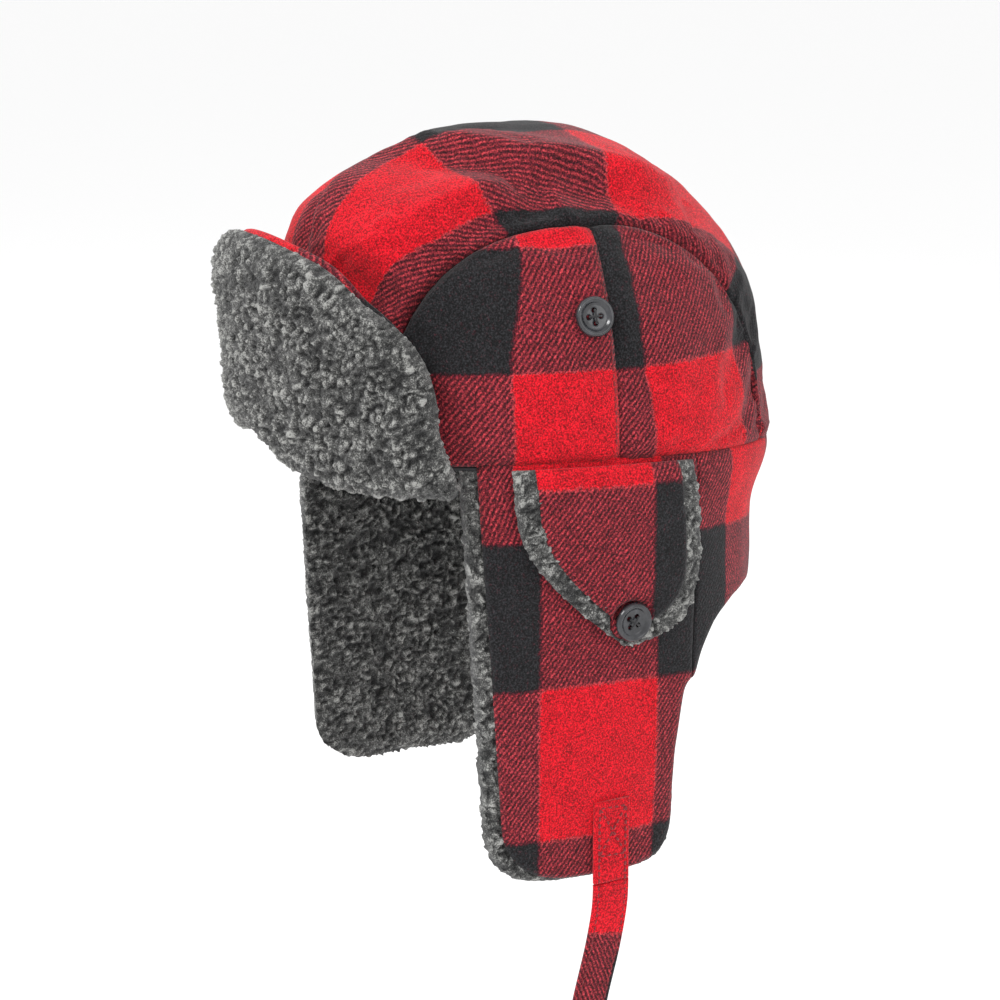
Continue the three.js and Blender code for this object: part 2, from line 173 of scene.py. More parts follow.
def unit(vectors):
    return vectors / np.maximum(np.linalg.norm(vectors, axis=-1, keepdims=True), 1e-12)


_draw = np.random.default_rng(11)
_SLOPES = unit(_draw.normal(size=(256, 3)))
_ORDER = _draw.permutation(256)


def picked(cell):
    """A number from 0 to 255 for each lattice cell, always the same for the same cell."""
    at = cell % 256
    return _ORDER[(_ORDER[(_ORDER[at[:, 0]] + at[:, 1]) % 256] + at[:, 2]) % 256]


def noise(points, size, seed=0):
    """Smooth noise from about -1 to 1, with lumps of the given size."""
    place = points / size + 17.3 * seed
    cell = np.floor(place).astype(int)
    part = place - cell
    ease = part**3 * (part * (6 * part - 15) + 10)
    total = np.zeros(len(points))
    for corner in itertools.product((0, 1), repeat=3):
        slope = np.sum(_SLOPES[picked(cell + corner)] * (part - corner), axis=1)
        total += slope * np.prod(np.where(corner, ease, 1 - ease), axis=1)
    return 1.6 * total


def cells(points, size, seed=0):
    """For lumps of about one size: the distance to the nearest lump's centre and the gap to the
    next one, both as shares of the size, and a random number for the lump."""
    place = points / size + 9.1 * seed
    cell = np.floor(place).astype(int)
    nearest = np.full(len(points), 9.0)
    second = np.full(len(points), 9.0)
    chance = np.zeros(len(points))
    for step in itertools.product((-1, 0, 1), repeat=3):
        pick = picked(cell + step)
        centre = cell + step + 0.5 + 0.42 * _SLOPES[pick]
        distance = np.linalg.norm(place - centre, axis=1)
        closer = distance < nearest
        second = np.where(closer, nearest, np.minimum(second, distance))
        chance = np.where(closer, pick / 255, chance)
        nearest = np.minimum(nearest, distance)
    return nearest, second - nearest, chance


def rounded(distance, radius):
    """The share of its full thickness that a soft edge has at a distance in from it."""
    inner = 1 - np.clip(distance / radius, 0, 1)
    return np.sqrt(np.maximum(1 - inner**2, 0.002))


# ---- Meshes ----


def grid(count_u, count_v):
    """A grid of (u, v) from 0 to 1: its points, and its quads."""
    u, v = np.meshgrid(
        np.linspace(0, 1, count_u + 1), np.linspace(0, 1, count_v + 1), indexing="ij"
    )
    corner = np.arange(count_u * (count_v + 1)).reshape(count_u, -1)[:, :-1].ravel()
    across = count_v + 1
    quads = np.stack([corner, corner + across, corner + across + 1, corner + 1], 1)
    return np.stack([u.ravel(), v.ravel()], 1), quads


def tube_quads(rows, count, joined=False):
    """The quads round a tube of rings of points. joined also joins its last ring to its first."""
    index = np.arange(rows * count).reshape(rows, count)
    ahead = np.roll(index, -1, 0)
    if not joined:
        index, ahead = index[:-1], ahead[:-1]
    corners = [index, ahead, np.roll(ahead, -1, 1), np.roll(index, -1, 1)]
    return np.stack(corners, -1).reshape(-1, 4)


def curve_between(p0, p1, p2, p3, t):
    """A Catmull-Rom curve from p1, where t is 0, to p2, where t is 1."""
    return 0.5 * (2 * p1 + (p2 - p0) * t + (2 * p0 - 5 * p1 + 4 * p2 - p3) * t**2
                  + (3 * p1 - p0 - 3 * p2 + p3) * t**3)


def run_along(line):
    """How far along a line each of its points is."""
    return np.concatenate([[0], np.cumsum(np.linalg.norm(np.diff(line, axis=0), axis=1))])


def circle(x, y, radius, count):
    turn = math.tau * np.arange(count) / count
    return np.stack([x + radius * np.cos(turn), y + radius * np.sin(turn)], 1)


def inside_of(points, loops):
    """True for the points that lie inside an odd number of closed outlines."""
    inside = np.zeros(len(points), bool)
    x, y = points.T
    for loop in loops:
        for (x0, y0), (x1, y1) in zip(loop, np.roll(loop, -1, 0)):
            if y0 != y1:
                crosses = (y < y0) != (y < y1)
                inside ^= crosses & (x < x0 + (y - y0) * (x1 - x0) / (y1 - y0))
    return inside


def nearest_on(points, line, closed=True):
    """The distance from each point to a line, and the nearest place on it."""
    best = np.full(len(points), np.inf)
    place = points.copy()
    ends = np.roll(line, -1, 0) if closed else line[1:]
    for start, end in zip(line, ends):
        along = end - start
        share = np.clip((points - start) @ along / max(along @ along, 1e-9), 0, 1)
        spot = start + share[:, None] * along
        distance = np.linalg.norm(points - spot, axis=1)
        closer = distance < best
        best[closer] = distance[closer]
        place[closer] = spot[closer]
    return best, place


def cut_cloth(loops, spacing):
    """A square mesh cut to closed flat outlines: its points, and its quads."""
    low = loops[0].min(0) - spacing
    count = np.ceil((loops[0].max(0) + spacing - low) / spacing).astype(int)
    points, quads = grid(*count)
    points = low + points * count * spacing
    quads = quads[inside_of(points[quads].mean(1), loops)]
    used, flat = np.unique(quads, return_inverse=True)
    points, quads = points[used], flat.reshape(-1, 4)
    rim = np.unique(rim_edges(quads))
    found = [nearest_on(points[rim], loop) for loop in loops]
    closest = np.argmin([distance for distance, _ in found], axis=0)
    points[rim] = np.stack([place for _, place in found])[closest, np.arange(len(rim))]
    return points, quads


def rim_edges(quads):
    """The edges with a quad on one side only, in that quad's own order."""
    edges = np.concatenate([quads[:, [k, (k + 1) % 4]] for k in range(4)])
    _, first, count = np.unique(np.sort(edges, 1), axis=0, return_index=True, return_counts=True)
    return edges[first[count == 1]]


def normals_of(points, quads):
    a, b, c, d = (points[quads[:, k]] for k in range(4))
    face = np.cross(c - a, d - b)
    total = np.zeros_like(points)
    for k in range(4):
        np.add.at(total, quads[:, k], face)
    return unit(total)


def facing(points, quads, outward):
    """The quads, turned over if they face against the outward direction at most points."""
    if np.sum(normals_of(points, quads) * outward) < 0:
        return quads[:, ::-1]
    return quads


def faced(points, quads, outward):
    """The quads turned to face outward, and the normals of the points."""
    quads = facing(points, quads, outward)
    return quads, normals_of(points, quads)


def make_mesh(name, points, faces, material, **attributes):
    """A mesh object in metres, smooth shaded, with a value or a vector for each point."""
    mesh = bpy.data.meshes.new(name)
    mesh.from_pydata((np.asarray(points) * MM).tolist(), [], [list(f) for f in faces])
    mesh.polygons.foreach_set("use_smooth", [True] * len(mesh.polygons))
    for label, values in attributes.items():
        kind = "FLOAT_VECTOR" if values.ndim == 2 else "FLOAT"
        layer = mesh.attributes.new(label, kind, "POINT")
        field = "vector" if values.ndim == 2 else "value"
        layer.data.foreach_set(field, values.astype(np.float32).ravel())
    mesh.materials.append(material)
    mesh.update()
    piece = bpy.data.objects.new(name, mesh)
    bpy.context.scene.collection.objects.link(piece)
    return piece


def make_layer(name, top, bottom, quads, material, crisp=None, **attributes):
    """A closed layer between two surfaces. Its attributes are given once for both. crisp marks the
    points where its side wall is flat, because another piece of the same cloth goes on there."""
    count = len(top)
    rim = rim_edges(quads)
    walls = np.stack([rim[:, 1], rim[:, 0], rim[:, 0] + count, rim[:, 1] + count], 1)
    faces = np.concatenate([quads, quads[:, ::-1] + count, walls]).tolist()
    doubled = {label: np.concatenate([v, v]) for label, v in attributes.items()}
    piece = make_mesh(name, np.concatenate([top, bottom]), faces, material, **doubled)
    if crisp is not None:
        smoothed = np.ones(len(faces), bool)
        smoothed[2 * len(quads):] = ~(crisp[rim[:, 0]] & crisp[rim[:, 1]])
        piece.data.polygons.foreach_set("use_smooth", smoothed)
    return piece


def settle(piece, body, node=None):
    """Let a piece ride a body, in place of a CAD node if one is named."""
    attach(piece, body)
    if node:
        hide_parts(node)


def part_of(chosen, quads, *values):
    """Some of the quads, with only the points they use and those points' values."""
    used, flat = np.unique(quads[chosen], return_inverse=True)
    return (flat.reshape(-1, 4), *(value[used] for value in values))


# ---- Materials ----


class Graph:
    """A material's nodes, each added with its inputs joined."""

    def __init__(self, name):
        self.material = bpy.data.materials.new(name)
        self.material.use_nodes = True
        self.tree = self.material.node_tree
        self.shader = self.tree.nodes["Principled BSDF"]

    def add(self, kind, inputs=(), **settings):
        node = self.tree.nodes.new("ShaderNode" + kind)
        for key, value in settings.items():
            setattr(node, key, value)
        for key, value in dict(inputs).items():
            self.join(value, node.inputs[key])
        return node

    def join(self, value, socket):
        if isinstance(value, bpy.types.NodeSocket):
            self.tree.links.new(value, socket)
        else:
            socket.default_value = value

    def math(self, operation, a, b=0.0, clamp=False):
        node = self.add("Math", {0: a, 1: b}, operation=operation, use_clamp=clamp)
        return node.outputs[0]

    def swing(self, value, size):
        """A value around one half, made into one around zero of a given size."""
        return self.math("MULTIPLY", self.math("SUBTRACT", value, 0.5), size)

    def total(self, a, share_a, b, share_b, clamp=False):
        first, second = self.math("MULTIPLY", a, share_a), self.math("MULTIPLY", b, share_b)
        return self.math("ADD", first, second, clamp=clamp)

    def noise(self, scale, detail=2.0, roughness=0.5):
        place = self.add("TexCoord").outputs["Object"]
        settings = {"Vector": place, "Scale": scale, "Detail": detail, "Roughness": roughness}
        return self.add("TexNoise", settings).outputs["Fac"]

    def ramp(self, factor, stops):
        node = self.add("ValToRGB", {"Fac": factor})
        stop = node.color_ramp.elements
        while len(stop) < len(stops):
            stop.new(0.5)
        for k, (position, colour) in enumerate(stops):
            stop[k].position = position
            stop[k].color = (*linear(colour), 1)
        return node.outputs["Color"]

    def tint(self, colour, factor):
        """A colour made brighter or darker by a factor around 1."""
        scaled = self.add("VectorMath", {0: colour, 3: factor}, operation="SCALE")
        return scaled.outputs["Vector"]

    def bump(self, height, distance, strength=1.0):
        inputs = {"Height": height, "Distance": distance * MM, "Strength": strength}
        self.join(self.add("Bump", inputs).outputs["Normal"], self.shader.inputs["Normal"])

    def finish(self, colour, roughness, **constants):
        self.join(colour, self.shader.inputs["Base Color"])
        self.join(roughness, self.shader.inputs["Roughness"])
        for key, value in constants.items():
            self.shader.inputs[key.replace("_", " ")].default_value = value
        return self.material


def linear(colour):
    """A colour given as three screen values from 0 to 255, as linear light."""
    share = np.array(colour) / 255
    return tuple(np.where(share < 0.04045, share / 12.92, ((share + 0.055) / 1.055) ** 2.4))


def plaid_material():
    """Brushed wool twill in a red and black check. The cloth attribute holds the place in the
    check along both yarns, and the place across the twill lines."""
    CRISPNESS = 9.0
    g = Graph("plaid_wool")
    cloth = g.add("SeparateXYZ", {0: g.add("Attribute", attribute_name="cloth").outputs["Vector"]})
    fuzz = g.noise(1350, 3, 0.7)
    waver = g.swing(g.noise(420, 2), 0.035)

    def yarn(axis):
        shifted = g.math("ADD", cloth.outputs[axis], waver)
        wave = g.math("SINE", g.math("MULTIPLY", shifted, math.pi))
        return g.math("ADD", g.math("MULTIPLY", wave, CRISPNESS), 0.5, clamp=True)

    warp, weft = yarn("X"), yarn("Y")
    slip = g.swing(g.noise(200, 2), 0.7)
    slant = g.math("ADD", cloth.outputs["Z"], slip)
    twill = g.math("SINE", g.math("MULTIPLY", slant, 2 * math.pi))
    top_yarn = g.math("ADD", g.math("MULTIPLY", twill, 0.17), 0.5, clamp=True)
    under = g.math("SUBTRACT", 1.0, top_yarn)
    redness = g.total(warp, top_yarn, weft, under, clamp=True)
    stray = g.swing(g.noise(760, 3, 0.7), 0.8)
    colour = g.ramp(g.math("ADD", redness, stray), [
        (0.05, (28, 28, 30)), (0.3, (66, 18, 28)), (0.5, (104, 26, 36)),
        (0.7, (152, 50, 56)), (0.95, (192, 14, 30)),
    ])
    contrast = g.math("SUBTRACT", 12.5, g.math("MULTIPLY", redness, 6.5))
    fleck = g.swing(fuzz, contrast)
    mottle = g.math("ADD", fleck, g.math("MULTIPLY", g.noise(90, 2), 0.6))
    colour = g.tint(colour, g.math("MAXIMUM", g.math("ADD", mottle, 0.7), 0.3))
    hills = g.total(top_yarn, 0.55, fuzz, 0.9)
    g.bump(hills, 0.45, 0.7)
    rough = g.math("ADD", g.math("MULTIPLY", fuzz, 0.15), 0.82)
    return g.finish(
        colour, rough, Sheen_Weight=0.1, Sheen_Roughness=0.5, Specular_IOR_Level=0.2
    )


def sherpa_material():
    """Grey curly fleece, coloured with painted shade: dark deep between the curls and light at their
    tips. The pile attribute is 0 deep between the curls and 1 at their tips.
    """
    g = Graph("grey_fleece")
    pile = g.add("Attribute", attribute_name="pile").outputs["Fac"]
    fibre = g.noise(1500, 4, 0.75)
    tuft = g.noise(330, 3, 0.6)
    spread = g.swing(fibre, 2.9)
    clump = g.swing(tuft, 0.7)
    # Painted shade: the pile height darkens the colour deep between the curls and lightens it at their
    # tips.
    deep = g.math("SUBTRACT", g.math("MULTIPLY", pile, 1.3), 0.16)
    level = g.math("ADD", g.math("ADD", deep, spread), clump)
    colour = g.ramp(level, [
        (0.05, (20, 20, 21)), (0.4, (56, 56, 55)), (0.75, (102, 102, 100)), (1.0, (172, 172, 168)),
    ])
    hills = g.total(fibre, 0.7, tuft, 1.0)
    g.bump(hills, 1.1, 0.9)
    return g.finish(colour, 0.95, Sheen_Weight=0.25, Sheen_Roughness=0.6, Specular_IOR_Level=0.1)


def button_material():
    """Dark horn: glossy, with faint streaks."""
    g = Graph("dark_horn")
    streak = g.noise(260, 4, 0.6)
    colour = g.ramp(streak, [(0.3, (30, 31, 34)), (0.6, (54, 55, 59)), (0.9, (86, 88, 93))])
    rough = g.math("ADD", g.math("MULTIPLY", g.noise(900, 2), 0.2), 0.1)
    g.bump(g.noise(1400, 3), 0.02, 0.5)
    return g.finish(colour, rough, Coat_Weight=0.3, Coat_Roughness=0.12)


def yarn_material(name, colour):
    """Twisted thread."""
    g = Graph(name)
    twist = g.noise(2600, 2, 0.6)
    darker = tuple(0.55 * c for c in colour)
    shade = g.ramp(twist, [(0.3, darker), (0.7, colour)])
    g.bump(twist, 0.12, 0.8)
    return g.finish(shade, 0.75, Sheen_Weight=0.2)


def lining_material():
    """Charcoal lining satin, quilted in diamonds by its geometry, with a fine warp."""
    g = Graph("lining_satin")
    fine = g.noise(1800, 2, 0.6)
    cloudy = g.noise(60, 2)
    level = g.total(fine, 0.5, cloudy, 0.5)
    colour = g.ramp(level, [(0.3, (32, 32, 35)), (0.7, (58, 58, 62))])
    g.bump(fine, 0.06, 0.6)
    rough = g.math("ADD", g.math("MULTIPLY", fine, 0.2), 0.4)
    return g.finish(colour, rough, Sheen_Weight=0.1)


def band_material():
    """Black ribbed sweatband tape."""
    g = Graph("sweatband_tape")
    place = g.add("TexCoord").outputs["Object"]
    ribs = g.add("TexWave", {"Vector": place, "Scale": 180.0, "Distortion": 0.4},
                 bands_direction="Z").outputs["Fac"]
    fine = g.noise(1600, 2, 0.6)
    level = g.total(ribs, 0.35, fine, 0.5)
    colour = g.ramp(level, [(0.2, (22, 22, 24)), (0.8, (52, 52, 55))])
    g.bump(level, 0.2, 0.8)
    return g.finish(colour, 0.85, Sheen_Weight=0.15)


def batting_material():
    """White polyester wadding."""
    g = Graph("wadding")
    wool = g.noise(500, 5, 0.7)
    colour = g.ramp(wool, [(0.3, (196, 193, 186)), (0.7, (236, 234, 228))])
    g.bump(wool, 0.8, 0.8)
    return g.finish(colour, 0.95, Sheen_Weight=0.2)


def patch_material():
    """Black hook-and-loop tape."""
    g = Graph("hook_and_loop")
    loops = g.add("TexVoronoi", {"Vector": g.add("TexCoord").outputs["Object"], "Scale": 1000.0})
    spots = loops.outputs["Distance"]
    colour = g.ramp(spots, [(0.1, (58, 58, 60)), (0.6, (16, 16, 18))])
    g.bump(g.math("SUBTRACT", 1.0, spots), 0.5, 0.9)
    return g.finish(colour, 0.8, Sheen_Weight=0.2)


PLAID = plaid_material()
FLEECE = sherpa_material()
HORN = button_material()
DARK_THREAD = yarn_material("dark_thread", (44, 44, 47))
RED_THREAD = yarn_material("red_thread", (150, 18, 30))
SATIN = lining_material()
TAPE = band_material()
WADDING = batting_material()
HOOKS = patch_material()


# ---- The camera, the light and the floor ----


def make_camera():
    AZIMUTH, ELEVATION = math.radians(61), math.radians(13)
    DISTANCE, FOCAL_LENGTH = 1.0, 81.72
    SHIFT_X, SHIFT_Y = -0.023, -0.088
    back = Vector((
        math.sin(AZIMUTH) * math.cos(ELEVATION),
        -math.cos(AZIMUTH) * math.cos(ELEVATION),
        math.sin(ELEVATION),
    ))
    lens = bpy.data.cameras.new("camera")
    lens.lens = FOCAL_LENGTH
    lens.shift_x = SHIFT_X
    lens.shift_y = SHIFT_Y
    camera = bpy.data.objects.new("camera", lens)
    camera.location = back * DISTANCE
    camera.rotation_euler = (-back).to_track_quat("-Z", "Y").to_euler()
    bpy.context.scene.collection.objects.link(camera)
    bpy.context.scene.camera = camera


def area_light(name, place, aim, size, power):
    light = bpy.data.lights.new(name, "AREA")
    light.shape = "DISK"
    light.size = size
    light.energy = power
    lamp = bpy.data.objects.new(name, light)
    lamp.location = place
    lamp.rotation_euler = (Vector(aim) - Vector(place)).to_track_quat("-Z", "Y").to_euler()
    bpy.context.scene.collection.objects.link(lamp)


def make_studio():
    FLOOR_Z, HALF = -0.46, 20000
    world = bpy.data.worlds.new("studio")
    world.use_nodes = True
    world.node_tree.nodes["Background"].inputs["Color"].default_value = (1, 1, 1, 1)
    world.node_tree.nodes["Background"].inputs["Strength"].default_value = 1.0
    bpy.context.scene.world = world
    bpy.context.scene.view_settings.view_transform = "Standard"
    area_light("key", (0.2, -1.6, 1.7), (0, 0, -0.05), 0.9, 26)
    area_light("side", (2.0, 0.3, 0.9), (0, 0, -0.05), 1.2, 6)
    area_light("rim", (-1.2, 1.2, 1.6), (0, 0, 0), 1.0, 6)
    g = Graph("pale_floor")
    g.finish((*linear((250, 250, 250)), 1), 0.9)
    corners = [(-HALF, -HALF), (HALF, -HALF), (HALF, HALF), (-HALF, HALF)]
    points = [(x, y, FLOOR_Z / MM) for x, y in corners]
    floor = make_mesh("floor", points, [(0, 1, 2, 3)], g.material)


# ---- The plaid's place on each cloth ----


def plaid_place(stripe, band, across, down, slope):
    """The cloth attribute: the place in the check, and across twill lines of a given slope."""
    twill = (across - down * slope) / (TWILL_PITCH * math.hypot(1, slope))
    return np.stack([stripe, band, twill], 1)


# ---- Stitching ----


def resample(line, spacing):
    """Points evenly along a line, about a spacing apart, and the line's length."""
    line = np.asarray(line, float)
    run = run_along(line)
    count = max(2, round(run[-1] / spacing) + 1)
    at = np.linspace(0, run[-1], count)
    return np.stack([np.interp(at, run, line[:, k]) for k in range(line.shape[1])], 1), run[-1]


def stitch_faces(lines, outward, pitch=3.0, length=2.1, radius=0.38):
    """Stitches along lines, each one a short thread pressed into the cloth."""
    RINGS = [(-1, 0.15), (-0.8, 0.7), (0, 1), (0.8, 0.7), (1, 0.15)]
    SECTION = [math.tau * k / 6 for k in range(6)]
    points, faces = [], []
    for line in lines:
        places, _ = resample(line, pitch)
        for start, end in zip(places[:-1], places[1:]):
            middle, along = (start + end) / 2, unit(end - start)
            up = unit(outward - along * (outward @ along))
            side = np.cross(along, up)
            base = len(points)
            for step, share in RINGS:
                sink = -0.25 * radius * (step * step)
                for turn in SECTION:
                    around = up * math.cos(turn) + side * math.sin(turn)
                    shift = along * step * length / 2 + up * sink
                    points.append(middle + shift + around * radius * share)
            for ring in range(len(RINGS) - 1):
                for k in range(6):
                    a, b = base + 6 * ring + k, base + 6 * ring + (k + 1) % 6
                    faces.append((a, b, b + 6, a + 6))
            faces.append(tuple(base + k for k in reversed(range(6))))
            faces.append(tuple(base + 24 + k for k in range(6)))
    return points, faces


def make_stitches(name, lines, outward, material, **sizes):
    points, faces = stitch_faces([np.asarray(x, float) for x in lines], np.array(outward), **sizes)
    return make_mesh(name, points, faces, material)


# ---- Chin strap ----


def brow_drop(y):
    share = np.clip((y - NAPE_START) / (CROWN_HALF_LENGTH - NAPE_START), 0, 1)
    return NAPE_DROP * share**1.6


def brow_x(y):
    share = np.clip(np.abs(y) / CROWN_HALF_LENGTH, 0, 1) ** PLAN_POWER
    return CROWN_HALF_WIDTH * (1 - share) ** (1 / PLAN_POWER)


def flap_x(y, drop):
    flat = FLAP_LOW_X - 0.0016 * (y + 15) ** 2
    return mix(brow_x(y), flat, FLAP_FLATTENING * smooth(drop / FLAP_DROP))


def flap_point(side, y, drop):
    y, drop = np.broadcast_arrays(np.asarray(y, float), np.asarray(drop, float))
    ahead, outward = settled(side, y, drop)
    y = y - ahead
    return np.stack([side * (flap_x(y, drop) + outward), y, -brow_drop(y) - drop], -1)


def smooth_route(route, spacing):
    """A Catmull-Rom curve through a route's points."""
    route = np.array(route, float)
    padded = np.concatenate([[2 * route[0] - route[1]], route, [2 * route[-1] - route[-2]]])
    t = np.linspace(0, 1, 12, endpoint=False)[:, None]
    spans = zip(padded, padded[1:], padded[2:], padded[3:])
    parts = [curve_between(*span, t) for span in spans]
    return resample(np.concatenate([*parts, route[-1:]]), spacing)[0]


def make_ribbon(name, centre, outward, material, place_in_plaid):
    """A flat band of folded cloth along a line, with rounded edges and a pressed middle."""
    COUNT = 18
    half, thick = STRAP_WIDTH / 2, STRAP_THICKNESS / 2
    along = unit(np.gradient(centre, axis=0))
    up = unit(outward - along * np.sum(along * outward, axis=1, keepdims=True))
    side = np.cross(up, along)
    turns = math.tau * np.arange(2 * COUNT) / (2 * COUNT)
    width = np.sign(np.cos(turns)) * np.abs(np.cos(turns)) ** 0.8
    depth = np.sign(np.sin(turns)) * np.abs(np.sin(turns)) ** 0.35
    quilt = 1 - 0.2 * np.exp(-((np.abs(width) - 0.76) / 0.09) ** 2)
    ripple = 0.35 * noise(centre, 24, 4)[:, None, None] * up[:, None]
    points = (centre[:, None] + side[:, None] * (half * width)[None, :, None]
              + up[:, None] * (thick * depth * quilt)[None, :, None] + ripple)
    rows, ring = len(centre), 2 * COUNT
    faces = tube_quads(rows, ring)[:, [0, 3, 2, 1]].tolist()
    faces += [list(range(ring))[::-1], list(range((rows - 1) * ring, rows * ring))]
    spread = np.broadcast_to(half * width, (rows, ring)).ravel()
    cloth = place_in_plaid(spread, np.repeat(run_along(centre), ring))
    return make_mesh(name, points.reshape(-1, 3), faces, material, cloth=cloth)


def strap_plaid(start_run):
    """The strap is cut along one red stripe, beside the next black one."""
    RED_RUN = 57

    def place(spread, run):
        length = run + start_run
        stripe = 0.48 + spread / 22 + 0.2 * smooth((length - RED_RUN) / 15)
        band = 0.96 + (length - RED_RUN) / BAND
        return plaid_place(stripe, np.maximum(band, 0.3), spread, length, 0.7)

    return place


def make_chin_strap():
    OUTWARD = np.array([1.0, 0, 0])
    ANCHOR_OUT = 0.3 + STRAP_THICKNESS / 2
    drops = np.arange(STRAP_SEWN_FROM, STRAP_SEWN_TO + 0.1, 1.2)
    line = flap_point(1, STRAP_Y, drops) + OUTWARD * ANCHOR_OUT
    anchor = make_ribbon("chin_strap_anchor_cloth", line, OUTWARD, PLAID, strap_plaid(0))
    settle(anchor, "ear_flap_left", "chin_strap_anchor")

    route = smooth_route([STRAP_HIDDEN_START, *STRAP_ROUTE], 1.5)
    strap = make_ribbon(
        "chin_strap_cloth", route, OUTWARD, PLAID, strap_plaid(STRAP_SEWN_TO - STRAP_SEWN_FROM)
    )
    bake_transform(strap)
    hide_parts("chin_strap")
    edge = np.array([0, STRAP_WIDTH / 2 - 2, 0])
    face = OUTWARD * (STRAP_THICKNESS / 2 - 0.25)
    rows = [route + face + edge, route + face - edge]
    stitches = make_stitches("chin_strap_stitching", rows, OUTWARD, RED_THREAD)
    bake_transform(stitches)
    make_anchor_stitches(OUTWARD, ANCHOR_OUT)


def make_anchor_stitches(outward, out):
    """A stitched box with a cross in it, and an edge row down both sides."""
    TOP, BOTTOM, INSET = STRAP_SEWN_FROM + 2.5, STRAP_SEWN_FROM + 24, 2.2
    HEIGHT = out + STRAP_THICKNESS / 2 - 0.05

    def line(*corners):
        spots = resample(corners, 1.5)[0]
        return flap_point(1, spots[:, 0], spots[:, 1]) + outward * HEIGHT

    near, far = STRAP_Y - STRAP_WIDTH / 2 + INSET, STRAP_Y + STRAP_WIDTH / 2 - INSET
    lines = [
        line((near, TOP), (far, TOP)), line((near, BOTTOM), (far, BOTTOM)),
        line((near, TOP), (far, BOTTOM)), line((far, TOP), (near, BOTTOM)),
        line((near, TOP), (near, STRAP_SEWN_TO)), line((far, TOP), (far, STRAP_SEWN_TO)),
    ]
    stitches = make_stitches("strap_anchor_stitching", lines, outward, RED_THREAD, radius=0.5)
    settle(stitches, "ear_flap_left")


# ---- The crown ----


def dome_point(direction, depth=0.0):
    """The point of the dome in a direction from the origin, at a depth in from its surface."""
    depth = np.asarray(depth, float)
    x = np.abs(direction[..., 0]) / (CROWN_HALF_WIDTH - depth)
    y = np.abs(direction[..., 1]) / (CROWN_HALF_LENGTH - depth)
    z = np.abs(direction[..., 2]) / (CROWN_HEIGHT - depth)
    plan = (x**PLAN_POWER + y**PLAN_POWER) ** (DOME_POWER / PLAN_POWER)
    point = direction * ((plan + z**DOME_POWER) ** (-1 / DOME_POWER))[..., None]
    lift = FRONT_RISE * smooth(-point[..., 1] / FALL_RUN) - REAR_FALL * smooth(point[..., 1] / FALL_RUN)
    point[..., 2] *= 1 + lift
    share = 1 - np.clip(point[..., 2] / CROWN_HEIGHT, 0, 1)
    point[..., 2] -= brow_drop(point[..., 1]) * share
    return point


def on_dome(x_side, y, z):
    """A direction that meets the dome at a given y and height, before its lift and brow drop."""
    level = (1 - (z / CROWN_HEIGHT) ** DOME_POWER) ** (PLAN_POWER / DOME_POWER)
    share = (np.abs(y) / CROWN_HALF_LENGTH) ** PLAN_POWER
    x = CROWN_HALF_WIDTH * np.maximum(level - share, 1e-9) ** (1 / PLAN_POWER)
    return np.stack(np.broadcast_arrays(x_side * x, y, z), -1).astype(float)


def arch_direction(t):
    """The arch seam on the left side, from the brow in front (0) to the nape (1)."""
    turn = np.pi * (1 - np.asarray(t, float))
    along = np.sign(np.cos(turn)) * np.abs(np.cos(turn)) ** (2 / ARCH_POWER)
    y = mix(ARCH_FRONT, ARCH_BACK, (along + 1) / 2)
    z = ARCH_HEIGHT * np.maximum(0, np.sin(turn)) ** (2 / ARCH_POWER)
    return on_dome(1, y, z)


def arch_position_at(y):
    along = 2 * (y - ARCH_FRONT) / (ARCH_BACK - ARCH_FRONT) - 1
    return 1 - math.acos(math.copysign(abs(along) ** (ARCH_POWER / 2), along)) / math.pi


def seam_dip(distance, depth, radius):
    """How far cloth lies below its surface near a seam that draws it in."""
    return depth * (1 - rounded(distance, radius))


# Folds of the centre panel, as lines on the dome from front to rear: where the cloth is pinched up.
FOLDS = [
    # (points on the ridge, height, gentle side, steep side, which side is steep)
    ([(12, -97, 76), (9, -86, 93), (3, -68, 110), (12, -44, 121)], 7.5, 20, 5, -1),
    ([(33, -88, 80), (40, -80, 86), (47, -62, 97), (50, -45, 106), (50, -20, 112)], 8.0, 12, 7, 1),
    ([(14, -50, 120), (26, -40, 120), (39, -25, 118), (46, -11, 116), (51, 11, 112), (50, 28, 108),
      (46, 48, 101)], 8.0, 12, 7, 1),
]


def fold_height(points, normals):
    """How far the folds lift the cloth at each point."""
    total = np.zeros(len(points))
    for ridge, height, gentle, steep, side in FOLDS:
        line = smooth_route(ridge, 4)
        distance, place = nearest_on(points, line, closed=False)
        nearest = np.argmin(np.linalg.norm(points[:, None] - line[None], axis=2), axis=1)
        along = unit(np.gradient(line, axis=0))[nearest]
        across = np.sum(np.cross(along, normals) * (points - place), axis=1)
        run = nearest / (len(line) - 1)
        taper = np.sin(np.pi * np.clip(0.12 + 0.76 * run, 0, 1)) ** 0.8
        width = np.where(across * side > 0, steep, gentle)
        bump = np.exp(-((distance / width) ** 1.6))
        valley = np.exp(-(((across * side - 2.2 * steep) / (1.2 * steep)) ** 2))
        near = np.exp(-((distance / 34) ** 4))
        total += height * taper * (bump - 0.5 * valley * near)
    return total


def crown_bulge(points):
    """How full the wadding makes the cloth: a shoulder in front, less at the nape and on top, waves."""
    shoulder = np.exp(-(((points[:, 1] + 92) / 26) ** 2) - (((points[:, 2] - 92) / 26) ** 2))
    nape = np.exp(-(((points[:, 1] - 112) / 36) ** 2) - (((points[:, 2] - 30) / 34) ** 2))
    back = smooth((points[:, 1] - 10) / 50) * smooth((points[:, 2] - 50) / 40)
    waves = 1.1 * noise(points, 46, 1) + 0.6 * noise(points, 19, 2)
    top = smooth((points[:, 2] - 85) / 35)
    return 9.0 * shoulder - 6.5 * nape - 1.0 * back - 1.8 * top - 0.6 + waves


